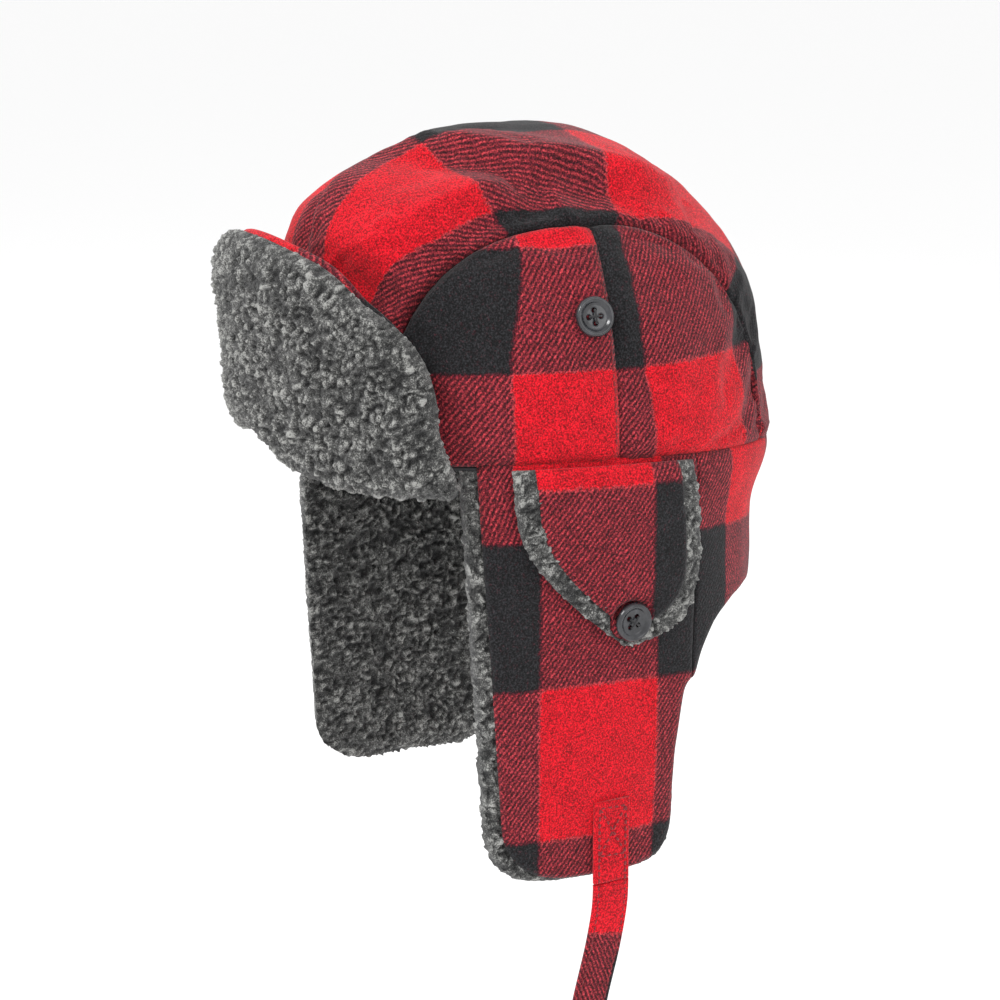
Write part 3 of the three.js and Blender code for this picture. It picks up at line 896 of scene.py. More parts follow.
def simulated(name, points, quads, held, growth, pressure):
    """The points of a sheet after it has been let loose a little, sewn down where held is 1."""
    FRAMES, MOST = 22, 3.0
    scene = bpy.context.scene
    trial = make_mesh(name + "_trial", points, quads.tolist(), PLAID)
    group = trial.vertex_groups.new(name="held")
    for k in np.flatnonzero(held > 0.01):
        group.add([int(k)], float(held[k]), "REPLACE")
    cloth = trial.modifiers.new("cloth", "CLOTH")
    settings = {
        "quality": 5, "mass": 0.25, "tension_stiffness": 18, "compression_stiffness": 18,
        "shear_stiffness": 8, "bending_stiffness": 1.2, "air_damping": 4,
        "vertex_group_mass": "held", "shrink_min": -growth, "use_pressure": True,
        "uniform_pressure_force": pressure,
    }
    for key, value in settings.items():
        setattr(cloth.settings, key, value)
    cloth.settings.effector_weights.gravity = 0
    cloth.collision_settings.use_collision = False
    cloth.point_cache.frame_end = FRAMES
    for step in range(1, FRAMES + 1):
        scene.frame_set(step)
    ready = trial.evaluated_get(bpy.context.evaluated_depsgraph_get())
    moved = np.zeros(len(points) * 3)
    ready.data.vertices.foreach_get("co", moved)
    moved = moved.reshape(-1, 3) / MM - points
    scene.frame_set(1)
    bpy.data.objects.remove(trial)
    size = np.linalg.norm(moved, axis=1, keepdims=True)
    return points + moved * np.minimum(1, MOST / np.maximum(size, 1e-9))


def refined(points, count_u, count_v, times):
    """A grid's points, on a grid that is finer by a whole number of times."""
    values = points.reshape(count_u + 1, count_v + 1, 3)
    for axis, count in ((0, count_u), (1, count_v)):
        fine = np.linspace(0, count, count * times + 1)
        low = np.minimum(fine.astype(int), count - 1)
        steps = (np.maximum(low - 1, 0), low, low + 1, np.minimum(low + 2, count))
        shape = [1, 1, 1]
        shape[axis] = -1
        t = (fine - low).reshape(shape)
        values = curve_between(*(np.take(values, at, axis) for at in steps), t)
    return values.reshape(-1, 3)


def make_panel(name, node, direction, counts, dips, checks, growth):
    """A padded crown panel. direction(u, v) aims at the dome, dips(u, v, points) is how far seams
    draw it in and how firmly they hold it, and checks(u, v, points) is its place in the plaid."""
    FINER, PRESSURE = 2, 1.2
    coarse = [c // FINER for c in counts]
    flat, quads = grid(*coarse)
    base = dome_point(direction(*flat.T))
    quads, normal = faced(base, quads, base)
    dip, held = dips(*flat.T, base)
    lift = crown_bulge(base) + (fold_height(base, normal) if "centre" in node else 0)
    outer = base + normal * (lift * (1 - held) - dip)[:, None]
    outer = simulated(name, outer, quads, held, growth, PRESSURE)
    depth = np.sum((outer - base) * normal, axis=1, keepdims=True)
    outer = outer + normal * np.maximum(CROWN_DEEPEST - depth, 0)
    outer = refined(outer, *coarse, FINER)
    flat, quads = grid(*counts)
    base = dome_point(direction(*flat.T))
    quads = facing(base, quads, base)
    normal = normals_of(outer, quads)
    outer = outer + normal * (0.22 * noise(outer, 7, 5))[:, None]
    inner = outer - normal * CROWN_CLOTH
    piece = make_layer(name, outer, inner, quads, PLAID, cloth=checks(*flat.T, base))
    settle(piece, "crown", node)
    return base, outer


def row_distances(points, shape):
    """The distance along each grid line from its two ends: to u=0, u=1, v=0 and v=1."""
    lattice = points.reshape(*shape, 3)
    result = []
    for axis in (0, 1):
        steps = np.linalg.norm(np.diff(lattice, axis=axis), axis=2)
        pad = [(1, 0), (0, 0)] if axis == 0 else [(0, 0), (1, 0)]
        run = np.pad(np.cumsum(steps, axis=axis), pad)
        total = run[-1:, :] if axis == 0 else run[:, -1:]
        result += [run.ravel(), (total - run).ravel()]
    return result


def brow_dip(height):
    return seam_dip(height, 3.2, 9)


def centre_panel():
    COUNTS = (96, 208)
    # Where the outer edge of the red stripe lies across the panel, along the arch seam.
    EDGE_AT = [0.0, 0.2, 0.24, 0.305, 0.4, 0.526, 0.572, 0.776, 1.0]
    EDGE = [36, 44, 48, 57, 63, 76, 78, 55, 42]
    # Where the inner edge of that stripe lies.
    INNER_AT = [0.0, 0.22, 0.28, 0.35, 0.43, 0.6, 1.0]
    INNER = [20, 20, 19, 13, 18, 22, 10]
    # How wide the next stripe is, over the middle of the panel.
    MIDDLE_AT = [0.3, 0.45]
    MIDDLE = [32, STRIPE]
    # Where the bands across the panel begin, along the arch seam.
    BANDS_AT = [0.0, 0.1, 0.395, 0.535, 0.776, 0.93, 1.0]
    BANDS = [-0.5, 0.0, 1.0, 2.0, 3.0, 4.0, 4.6]

    def direction(u, v):
        edge = arch_direction(v)
        edge[:, 0] *= 2 * u - 1
        return edge

    def across(u, points):
        count = len(np.unique(u))
        left, right = row_distances(points, (count, -1))[:2]
        return (left - right) / 2, np.minimum(left, right)

    def dips(u, v, points):
        _, distance = across(u, points)
        low = np.maximum(points[:, 2] + brow_drop(points[:, 1]), 0)
        roll = 1.6 * np.exp(-(((distance - 13) / 12) ** 2))
        dip = seam_dip(distance, 5.5, 9) - roll + brow_dip(low)
        held = np.maximum(1 - smooth(distance / 7), 1 - smooth(low / 8))
        return dip, held

    def checks(u, v, points):
        offset, _ = across(u, points)
        edge = np.interp(v, EDGE_AT, EDGE)
        inner = np.interp(v, INNER_AT, INNER)
        wide = np.where(offset > inner, edge - inner, np.interp(v, MIDDLE_AT, MIDDLE))
        start = np.where(offset > inner, 2.0, 3.0)
        stripe = start + (np.where(offset > inner, edge, inner) - offset) / wide
        band = np.interp(v, BANDS_AT, BANDS)
        return plaid_place(stripe, band, offset, v * ARCH_LENGTH, -TWILL_SLOPE)

    make_panel("crown_centre", "crown_centre_panel", direction, COUNTS, dips, checks, 0.03)


def side_panels(label, side):
    COUNTS = (72, 60)
    split = arch_position_at(SIDE_SEAM_Y)
    surfaces = []
    for part, first, last in (("front", ARCH_TRIM, split), ("rear", split, 1 - ARCH_TRIM)):

        def direction(u, v, first=first, last=last):
            top = arch_direction(mix(first, last, u))
            foot = np.stack([brow_x(top[:, 1]), top[:, 1], 0 * u], 1)
            aim = mix(foot, top, v[:, None])
            aim[:, 0] *= side
            return aim

        def dips(u, v, points, part=part):
            count = len(np.unique(u))
            start, end, low, high = row_distances(points, (count, -1))
            seam = end if part == "front" else start
            seam = np.where(high + low < 20, 99, seam)
            dip = seam_dip(high, 3.4, 13) + brow_dip(low) + seam_dip(seam, 1.6, 5)
            held = np.maximum.reduce(
                [1 - smooth(high / 6), 1 - smooth(low / 8), 1 - smooth(seam / 4)]
            )
            return dip, held

        def checks(u, v, points, part=part):
            y, z = points[:, 1], points[:, 2]
            if part == "front":
                stripe = (y + 51 - 11 * smooth((z - 38) / 52)) / STRIPE
                band = 1 + (z - 37.6) / 48
            else:
                edge = 4.5 + 5 * smooth((45 - z) / 45)
                stripe = 2 + np.where(y < edge, (y - edge) / STRIPE, (y - edge) / 57)
                band = 1 + (z - 37) / BAND
            return plaid_place(stripe, band, y, -z, TWILL_SLOPE)

        name = f"side_panel_{part}_{label}"
        surfaces.append(
            make_panel(f"crown_side_{part}_{label}", name, direction, COUNTS, dips, checks, 0.015)
        )
    side_seam_stitches(label, side, *surfaces[0])


def side_seam_stitches(label, side, base, outer):
    """Topstitching just in front of the upright seam of a side, on the cloth as it lies."""
    AHEAD, NEAR = 2.4, 2.5
    heights = np.linspace(7, 84, 40)
    line = dome_point(on_dome(side, SIDE_SEAM_Y - AHEAD, heights))
    weight = np.exp(-((np.linalg.norm(line[:, None] - base[None], axis=2) / NEAR) ** 2))
    line = line + (weight @ (outer - base)) / weight.sum(1, keepdims=True)
    piece = make_stitches(f"side_seam_stitching_{label}", [line], (side, 0, 0.2), RED_THREAD,
                          radius=0.42)
    settle(piece, "crown")


def dome_grid(count_round, count_up, lowest, highest):
    """A grid over the whole dome: each point's turn, tilt and direction, and the quads."""
    flat, quads = grid(count_round, count_up)
    turn, tilt = math.tau * flat[:, 0], (math.pi / 2) * np.clip(flat[:, 1], lowest, highest)
    aim = np.stack([np.sin(tilt) * np.sin(turn), np.sin(tilt) * np.cos(turn), np.cos(tilt)], 1)
    return turn, tilt, aim * 100, quads


def make_wadding():
    """The crown's wadding, pressed thin against the lining; the cloth shows its fullness."""
    _, _, aim, quads = dome_grid(96, 24, lowest=0.015, highest=0.97)
    outer, inner = (dome_point(aim, depth) for depth in WADDING_LAYER)
    piece = make_layer("crown_wadding", outer, inner, facing(outer, quads, outer), WADDING)
    settle(piece, "crown", "crown_batting")


def make_lining():
    """The lining: a dome quilted in diamonds, open below."""
    QUILT, PUFF = 26, 1.1
    turn, tilt, aim, quads = dome_grid(120, 40, lowest=0.012, highest=1)
    base = dome_point(aim, LINING[1])
    quads, inward = faced(base, quads, -base)
    round_way, up_way = turn * CROWN_HALF_WIDTH, tilt * CROWN_HEIGHT
    diamonds = (np.abs(np.sin(math.pi * (round_way + up_way) / QUILT))
                * np.abs(np.sin(math.pi * (round_way - up_way) / QUILT)))
    puffed = base + inward * (PUFF * diamonds**0.5)[:, None]
    back = dome_point(aim, LINING[0])
    piece = make_layer("crown_lining_quilt", puffed, back, quads, SATIN)
    settle(piece, "crown", "crown_lining")


def make_sweatband():
    """A tape that covers the brow seam inside, and turns out under the crown's lower edge."""
    PROFILE = [(3.0, -1.6), (6.5, -2.2), (10.5, -1.6), (13.2, 1.5), (13.9, 8), (14.0, 17), (13.4, 25),
               (12.8, BAND_HEIGHT), (12.3, 25), (12.6, 17), (12.6, 8), (12.0, 2.6), (10.0, -0.2),
               (6.5, -0.8), (3.0, -0.3)]
    COUNT = 240
    turn = math.tau * np.arange(COUNT) / COUNT
    points = []
    for depth, height in PROFILE:
        aim = np.stack([np.sin(turn), np.cos(turn), 0 * turn], 1) * 100
        ring = dome_point(aim, depth + 0.35 * np.sin(turn * 23) * (height > 3))
        ring[:, 2] += height
        points.append(ring)
    faces = tube_quads(len(PROFILE), COUNT, joined=True).tolist()
    piece = make_mesh("sweatband_tape", np.concatenate(points), faces, TAPE)
    settle(piece, "crown", "sweatband")


# ---- Fleece ----


def curls(points, seed):
    """The height of curly pile from 0 deep to 1 at the tips: lumps with creases between them."""
    warp = np.stack([noise(points, 4.2, seed + k) for k in (1, 2, 3)], 1)
    bent = points + 2.6 * warp
    distance, gap, chance = cells(bent, CURL_SIZE, seed)
    lump = smooth(gap / 0.5) ** 0.5 * (1 - 0.5 * np.clip(distance, 0, 1) ** 2)
    worm = 1 - np.abs(noise(bent, 4.6, seed + 5))
    coarse = 0.14 * noise(points, 12, seed + 4)
    return np.clip(0.55 * lump * mix(0.6, 1.0, chance) + 0.5 * worm**2 + coarse, 0, 1.1)


def fluffed(top, bottom, quads, fullness, seed, depth=4.4, back=0.0):
    """The two surfaces of a fleece layer with curls raised on them, and the pile's height on each:
    fully on the top one, and by a share on the bottom one."""
    normal = normals_of(top, quads)
    height = curls(top, seed)
    slow = 0.8 * noise(top, 24, seed + 7)
    raised = ((height - 0.45) * depth + slow) * mix(0.15, 1, fullness)
    under = curls(bottom, seed + 20) if back else height
    lowered = (under - 0.45) * depth * back
    return top + normal * raised[:, None], bottom - normal * lowered[:, None], height, under


def fleece_layer(name, top, bottom, quads, height, under, crisp=None):
    """A closed fleece layer between two fluffed surfaces."""
    piece = make_layer(name, top, bottom, quads, FLEECE, crisp)
    # The pile height, which the fleece material turns into painted shade between the curls.
    pile = piece.data.attributes.new("pile", "FLOAT", "POINT")
    pile.data.foreach_set("value", np.concatenate([height, under]).astype(np.float32))
    return piece


# ---- The visor ----


def visor_outline(grow):
    """The visor's flat outline: from the right bottom corner up and over to the left."""
    v = np.linspace(0, 1, 60)
    into = np.clip((v - VISOR_CORNER_START) / (1 - VISOR_CORNER_START), 0, 1)
    corner = 1 - VISOR_CORNER * (1 - np.sqrt(1 - 0.96 * into**2))
    half = VISOR_HALF_ANGLE * VISOR_FLAT_RADIUS * corner
    height = VISOR_BOTTOM + (VISOR_HEIGHT - VISOR_END_LOSS) * v
    across = np.linspace(-1, 1, 80)[1:-1]
    top = np.stack([across * half[-1], VISOR_BOTTOM + VISOR_HEIGHT - VISOR_END_LOSS * across**2], 1)
    left_end, right_end = np.stack([half, height], 1), np.stack([-half, height], 1)
    bottom = np.stack([np.linspace(half[0], -half[0], 80)[1:-1], np.full(78, VISOR_BOTTOM)], 1)
    loop = resample(np.concatenate([right_end, top, left_end[::-1], bottom, right_end[:1]]), 2.5)[0]
    loop = loop[:-1]
    for _ in range(3):
        loop = 0.5 * loop + 0.25 * (np.roll(loop, 1, 0) + np.roll(loop, -1, 0))
    middle = np.array([0, VISOR_BOTTOM + VISOR_HEIGHT / 2])
    size = np.array([half[0], VISOR_HEIGHT / 2])
    loop = middle + (loop - middle) * (1 + grow / size)
    return slouched(loop)


def slouched(loop):
    """The visor's outline as it is worn: the lower edge arches up in the middle and hangs a little
    on the left, and the left upper corner slopes."""
    x, z = loop.T
    right = smooth((-x - 20) / 70) ** 2 * (1 - smooth((z + 5) / 45))
    left = smooth((x + 30) / 60) * (1 - smooth((z + 5) / 30))
    upper = smooth((x - 45) / 45) * smooth((z - 22) / 50)
    flare = smooth((x - 60) / 30) * (1 - smooth((z + 5) / 25))
    middle = np.exp(-(((x + 6) / 38) ** 2)) * (1 - smooth((z + 5) / 40))
    across = x + 3 * right - 10 * upper + 8 * flare
    rise = 4 * right + 13 * middle - 4.5 * left - 3 * upper
    return np.stack([across, z + rise], 1)


def visor_surface(flat, depth):
    turn = flat[:, 0] / VISOR_FLAT_RADIUS
    v = (flat[:, 1] - VISOR_BOTTOM) / VISOR_HEIGHT
    out = VISOR_GAP + VISOR_LEAN * v + depth
    return np.stack([
        (CROWN_HALF_WIDTH + out) * np.sin(turn),
        -(CROWN_HALF_LENGTH + out) * np.cos(turn),
        flat[:, 1],
    ], 1)


def visor_cloth():
    outline = visor_outline(-2.5)
    outline[:, 1] += 4.5 * smooth((outline[:, 1] - 40) / 40)
    flat, quads = cut_cloth([outline], 2.0)
    distance, _ = nearest_on(flat, outline)
    bulge = rounded(distance, 5)
    back = visor_surface(flat, 1.6 - 1.6 * bulge)
    front = visor_surface(flat, 2.2 + 4.4 * bulge)
    quads = facing(front, quads, front * [1, 1, 0])
    stripe = 0.42 + flat[:, 0] / STRIPE
    band = 0.9 + flat[:, 1] / BAND
    cloth = plaid_place(stripe, band, flat[:, 0], -flat[:, 1], 1)
    shell = make_layer("visor_cloth", front, back, quads, PLAID, cloth=cloth)
    settle(shell, "visor", "visor_shell")


def visor_wadding():
    flat, quads = cut_cloth([visor_outline(-9)], 4.0)
    back, front = visor_surface(flat, 3.0), visor_surface(flat, 5.5)
    quads = facing(front, quads, front * [1, 1, 0])
    wadding = make_layer("visor_wadding", front, back, quads, WADDING)
    settle(wadding, "visor", "visor_padding")


def visor_fleece():
    outline = visor_outline(1.5)
    flat, quads = cut_cloth([outline], 0.8)
    distance, _ = nearest_on(flat, outline)
    bulge = rounded(distance, 16)
    points = visor_surface(flat, 0 * distance)
    puff = 9.5 * bulge + 1.8 * noise(points, 42, 31) * bulge
    front = visor_surface(flat, 6.6 + puff)
    back = visor_surface(flat, 6.6 - 1.6 * rounded(distance, 4))
    quads = facing(front, quads, front * [1, 1, 0])
    front, back, height, under = fluffed(front, back, quads, mix(0.5, 1, bulge), 40)
    fleece = fleece_layer("visor_fleece", front, back, quads, height, under)
    settle(fleece, "visor", "visor_sherpa")


# ---- Ear flaps and neck curtain ----


_turn = np.linspace(0, math.pi, 2001)
_brow = np.stack([brow_x(CROWN_HALF_LENGTH * np.cos(_turn)), CROWN_HALF_LENGTH * np.cos(_turn)], 1)
_run = run_along(_brow)


def run_at(y):
    """How far round the brow seam a given y is, from the centre of the nape."""
    return np.interp(-np.asarray(y, float), -_brow[:, 1], _run)


def y_at(run):
    return np.interp(run, _run, _brow[:, 1])


def settled(side, y, drop):
    """How far the right flap hangs forward and outward of the left one's mirror image."""
    if side > 0:
        return 0 * y, 0 * y
    front = smooth((FAR_FLAP_FROM - y) / 24)
    return FAR_FLAP_FORWARD * front, FAR_FLAP_OUTWARD * front * smooth(drop / 40)


def hanging_point(side, run, drop):
    """The outer surface of the flap and the curtain, a way round the brow and a drop down."""
    y = y_at(run)
    low = np.maximum(drop, 0)
    ahead, outward = settled(side, y, low)
    y = y - ahead
    behind = np.maximum(y - FLAP_REAR, 0)
    narrowing = flap_x(FLAP_REAR, low) / brow_x(FLAP_REAR)
    x = np.where(behind > 0, brow_x(y) * narrowing, flap_x(y, low)) + outward
    taper = CURTAIN_TAPER * smooth(low / CURTAIN_TAPER_RUN)
    return np.stack([side * x, y - behind * taper, -brow_drop(y) - drop], 1)


def corner_inset(drop, total, radius):
    into = np.clip(drop - (total - radius), 0, radius)
    return radius - np.sqrt(np.maximum(0, radius**2 - into**2))


def hem_outline(top, front_roll, edge_roll):
    """The flat outline of a flap and half the curtain: (way round, drop). It starts at the top of
    the flap's front edge, and its hem ends at the nape."""
    total = FLAP_DROP + edge_roll
    drop = np.concatenate([np.linspace(top, total - 40, 50), total - 40 * np.cos(
        np.linspace(0, math.pi / 2, 30))[1:]])
    front = (FLAP_FRONT - front_roll + FLAP_FRONT_SLANT * drop / FLAP_DROP
             + corner_inset(drop, total, FLAP_FRONT_CORNER))
    corner = CURTAIN_DROP + CURTAIN_CORNER_DROP
    up = drop[drop > corner][::-1]
    rear = (FLAP_REAR - (FLAP_REAR_SLANT - edge_roll) * smooth((up - 60) / 80)
            - corner_inset(up, total, FLAP_REAR_CORNER))
    y = np.concatenate([np.arange(FLAP_REAR + edge_roll, 100, 2.5), [104, 108, 110.5, 112]])
    hem = (CURTAIN_DROP + edge_roll
           + CURTAIN_CORNER_DROP * np.exp(-(y - FLAP_REAR - edge_roll) / CURTAIN_CORNER_RUN))
    edges = [(front, drop), (rear, up), (y, hem)]
    line = np.concatenate([np.stack([run_at(a), b], 1) for a, b in edges])
    line = resample(line, 2.5)[0]
    inner = line[1:-1]
    for _ in range(2):
        inner = 0.5 * inner + 0.25 * (line[:-2] + line[2:])
        line = np.concatenate([line[:1], inner, line[-1:]])
    return line


def closed_outline(hem, top):
    """The hem's line, closed along the straight top edge."""
    count = int(hem[0, 0] / 2.5)
    upper = np.stack([np.linspace(0, hem[0, 0], count), np.full(count, float(top))], 1)
    return np.concatenate([hem, upper[:-1]])


def ear_port():
    return circle(run_at(VENT_CENTRE), EAR_PORT_DROP, EAR_PORT_RADIUS, 48)


def flap_waves(flat, side):
    """Soft hang of the flap: it waves a little towards its hem."""
    points = np.stack([flat[:, 0], flat[:, 1], np.full(len(flat), 40.0 * side)], 1)
    slow = 1.6 * noise(points, 52, 9) * smooth((flat[:, 1] - 8) / 60)
    return slow + 0.5 * noise(points, 17, 12) * smooth((flat[:, 1] - 4) / 20)


def flap_plaid(flat):
    EDGE_Y, FRONT_STRIPE, REAR_STRIPE = 13.5, 55.3, 43
    BANDS_AT = [-30, 32, 94, 161, 225]
    skew = 11 * (1 - smooth(flat[:, 1] / 50)) * smooth((flat[:, 0] - run_at(0)) / 30)
    rearward = run_at(EDGE_Y) - flat[:, 0] + skew
    stripe = 1 + np.where(rearward < 0, rearward / FRONT_STRIPE, rearward / REAR_STRIPE)
    band = np.interp(flat[:, 1], BANDS_AT, [0, 1, 2, 3, 4])
    return plaid_place(stripe, band, rearward, flat[:, 1], TWILL_SLOPE)


def split_hanging(flat, quads, ahead):
    """The quads of the flap and of the curtain, and which points lie on the border between them."""
    behind = flat[quads, 0].mean(1) < run_at(FLAP_CUT_Y) + ahead
    on_curtain, on_flap = (np.isin(np.arange(len(flat)), quads[part]) for part in (behind, ~behind))
    return (("flap", ~behind), ("curtain", behind)), on_curtain & on_flap


def slanted(flat, side, inward):
    """How far points this deep in the cloth lean to the rear near the cut between a flap and the
    curtain. The cut then runs the way the flap swings in, so that its edge slides past."""
    LEAN, REACH = 0.5, 12
    away = np.abs(flat[:, 0] - run_at(FLAP_CUT_Y))
    amount = LEAN * inward * np.exp(-((away / REACH) ** 2))
    return amount[:, None] * np.array([-0.3 * side, 0.95, 0])


def seam_gap(flat):
    """How far forward a flap's rear edge stands off the curtain."""
    ahead = np.maximum(flat[:, 0] - run_at(FLAP_CUT_Y), 0)
    gap = (0.2 + 0.006 * flat[:, 1]) * np.exp(-ahead / 4)
    return np.stack([0 * gap, -gap, 0 * gap], 1)


def follow_flap(piece):
    """The piece keeps its place as made: its transform is baked into its points."""
    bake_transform(piece)


def settle_hanging(piece, kind, label, cad_name):
    if kind == "flap":
        follow_flap(piece)
        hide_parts(f"ear_flap_{cad_name}_{label}")
    else:
        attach(piece, "crown")
        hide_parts(f"neck_curtain_{cad_name}")


def cut_hanging(top, front_roll, edge_roll, spacing):
    """The flat cloth of a flap and half the curtain: points, quads, and distance to the edge."""
    hem = hem_outline(top, front_roll, edge_roll)
    flat, quads = cut_cloth([closed_outline(hem, top), ear_port()], spacing)
    edge = np.minimum(nearest_on(flat, hem, closed=False)[0], nearest_on(flat, ear_port())[0])
    return flat, quads, edge


def hanging_cloth(label, side):
    """The plaid cloth of one flap, and of its half of the neck curtain."""
    flat, quads, edge = cut_hanging(top=-0.5, front_roll=0, edge_roll=0, spacing=2.0)
    middle = hanging_point(side, *flat.T)
    quads, normal = faced(middle, quads, np.array([side, 0.35, 0]))
    tuck = 1.6 * np.exp(-flat[:, 1] / 4)
    half = CLOTH / 2 * rounded(edge, 1.6)
    middle = middle + normal * (flap_waves(flat, side) - CLOTH / 2 - tuck)[:, None]
    outer = middle + normal * half[:, None]
    inner = middle - normal * half[:, None] + slanted(flat, side, CLOTH)
    parts, border = split_hanging(flat, quads, CLOTH_CUT_AHEAD)
    for kind, chosen in parts:
        part, outside, inside, crisp, checks, place = part_of(
            chosen, quads, outer, inner, border, flap_plaid(flat), flat)
        gap = seam_gap(place) if kind == "flap" else 0
        cloth = make_layer(f"{kind}_cloth_{label}", outside + gap, inside + gap, part, PLAID,
                           crisp, cloth=checks)
        settle_hanging(cloth, kind, label, "shell")


def hanging_fleece(label, side):
    """The fleece of one flap, and of its half of the neck curtain."""
    flat, quads, edge = cut_hanging(1.5, PILE_FRONT_ROLL, PILE_EDGE_ROLL, spacing=0.9)
    middle = hanging_point(side, *flat.T)
    quads, normal = faced(middle, quads, -np.array([side, 0.35, 0]))
    half = PILE / 2 * rounded(edge, PILE / 2)
    depth = CLOTH + PILE / 2 + 0.6 - flap_waves(flat, side)
    middle = middle + normal * depth[:, None]
    lift = mix(0.3, 1.0, smooth(edge / 10))
    inside, outside = middle + normal * (half * lift)[:, None], middle - normal * half[:, None]
    fullness = mix(0.5, 1, smooth(edge / 8))
    inside, outside, height, under = fluffed(
        inside, outside, quads, fullness, 60 + side, back=0.9)
    inside = inside + slanted(flat, side, CLOTH + PILE)
    outside = outside + slanted(flat, side, CLOTH)
    parts, border = split_hanging(flat, quads, 0)
    for kind, chosen in parts:
        part, crisp, place, near, far, *heights = part_of(
            chosen, quads, border, flat, inside, outside, height, under)
        gap = seam_gap(place) if kind == "flap" else 0
        fleece = fleece_layer(f"{kind}_fleece_{label}", near + gap, far + gap, part, *heights, crisp)
        settle_hanging(fleece, kind, label, "sherpa")


def seam_strip(label, side):
    """A strip of the flap's own cloth just inside its top, which bridges the fold to the crown."""
    UPPER, LOWER, IN = -1.5, 12.0, 2.6
    first, last = run_at(FLAP_FRONT + 1), run_at(58)
    flat, quads = grid(70, 10)
    flat = np.stack([mix(first, last, flat[:, 0]), mix(UPPER, LOWER, flat[:, 1])], 1)
    middle = hanging_point(side, *flat.T)
    quads, normal = faced(middle, quads, np.array([side, 0.2, 0]))
    outer, inner = middle - normal * IN, middle - normal * (IN + 1)
    piece = make_layer(f"flap_seam_strip_{label}", outer, inner, quads, PLAID, cloth=flap_plaid(flat))
    follow_flap(piece)


# ---- Vent flaps ----


def vent_outline(border, top):
    """A vent flap's flat outline, as (y, drop): down in front, round the tip and up behind."""
    total = VENT_DROP - border
    turn = np.linspace(0, math.pi / 2, 40)
    drop = np.concatenate([np.linspace(top, VENT_STRAIGHT, 12)[:-1],
                           VENT_STRAIGHT + (total - VENT_STRAIGHT) * np.sin(turn)])
    low = np.clip((drop - VENT_STRAIGHT) / (total - VENT_STRAIGHT), 0, 1)
    half = VENT_HALF_WIDTH - border
    centre = VENT_CENTRE + VENT_TILT * drop
    down = np.stack([centre - half * (1 - low**1.8), drop], 1)
    up = np.stack([centre + half * np.sqrt(1 - low**4), drop], 1)[::-1]
    return np.concatenate([down, up[1:]])


def buttonhole():
    return circle(BUTTON_Y, BUTTON_DROP, BUTTON_RADIUS + BUTTONHOLE_SPARE, 40)


def vent_plaid(flat):
    EDGE_Y, EDGE_DROP = 5.4, 8.4
    stripe = 1 + (flat[:, 0] - EDGE_Y) / STRIPE
    band = 1 + (flat[:, 1] - EDGE_DROP) / (BAND + 10)
    return plaid_place(stripe, band, flat[:, 0], flat[:, 1], TWILL_SLOPE)


def vent_layer(side, border, top, spacing, near, far, edge_radius):
    """One layer of a vent flap, from near to far off the ear flap: its flat points and quads, its
    two surfaces, how full its edge is, and its outline."""
    line = vent_outline(border, top)
    hole = buttonhole()
    flat, quads = cut_cloth([line, hole], spacing)
    edge = np.minimum(nearest_on(flat, line, closed=False)[0], nearest_on(flat, hole)[0])
    middle = flap_point(side, *flat.T)
    quads, normal = faced(middle, quads, np.array([side, 0, 0]))
    root = 1 - np.exp(-flat[:, 1] / 6)
    share = rounded(edge, edge_radius)
    lift = (near + far) / 2 * mix(0.35, 1, root) + 0.5 * noise(middle, 26, 13)
    half = (far - near) / 2 * mix(0.3, 1, root)
    top_side = middle + normal * (lift + half * share)[:, None]
    return flat, quads, top_side, middle + normal * (lift - half * share)[:, None], share, line


def settle_vent(piece, label, cad_name):
    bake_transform(piece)
    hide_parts(f"vent_flap_{cad_name}_{label}")


def vent_cloth(label, side):
    flat, quads, top_side, under, _, line = vent_layer(
        side, VENT_BORDER, top=0.4, spacing=1.6, near=4.6, far=6.9, edge_radius=1.6)
    cloth = make_layer(f"vent_cloth_{label}", top_side, under, quads, PLAID, cloth=vent_plaid(flat))
    settle_vent(cloth, label, "shell")


def vent_fleece(label, side):
    flat, quads, top_side, under, share, line = vent_layer(
        side, 0, top=0.8, spacing=0.9, near=1.0, far=5.2, edge_radius=2.4)
    near_root = smooth((flat[:, 1] - 2) / 10)
    edge_only = smooth((VENT_BORDER + 3 - nearest_on(flat, line, closed=False)[0]) / 3)
    fullness = mix(0.4, 1, share) * near_root * edge_only
    shaped = fluffed(top_side, under, quads, fullness, 80 + side, depth=3.4)
    fleece = fleece_layer(f"vent_fleece_{label}", *shaped[:2], quads, *shaped[2:])
    settle_vent(fleece, label, "sherpa")


# ---- Buttons ----


def placed(points, centre, normal):
    """Points given around +Z, moved to stand on a place along a normal."""
    turn = Vector((0, 0, 1)).rotation_difference(Vector(normal)).to_matrix()
    return np.asarray(points) @ np.array(turn).T + centre


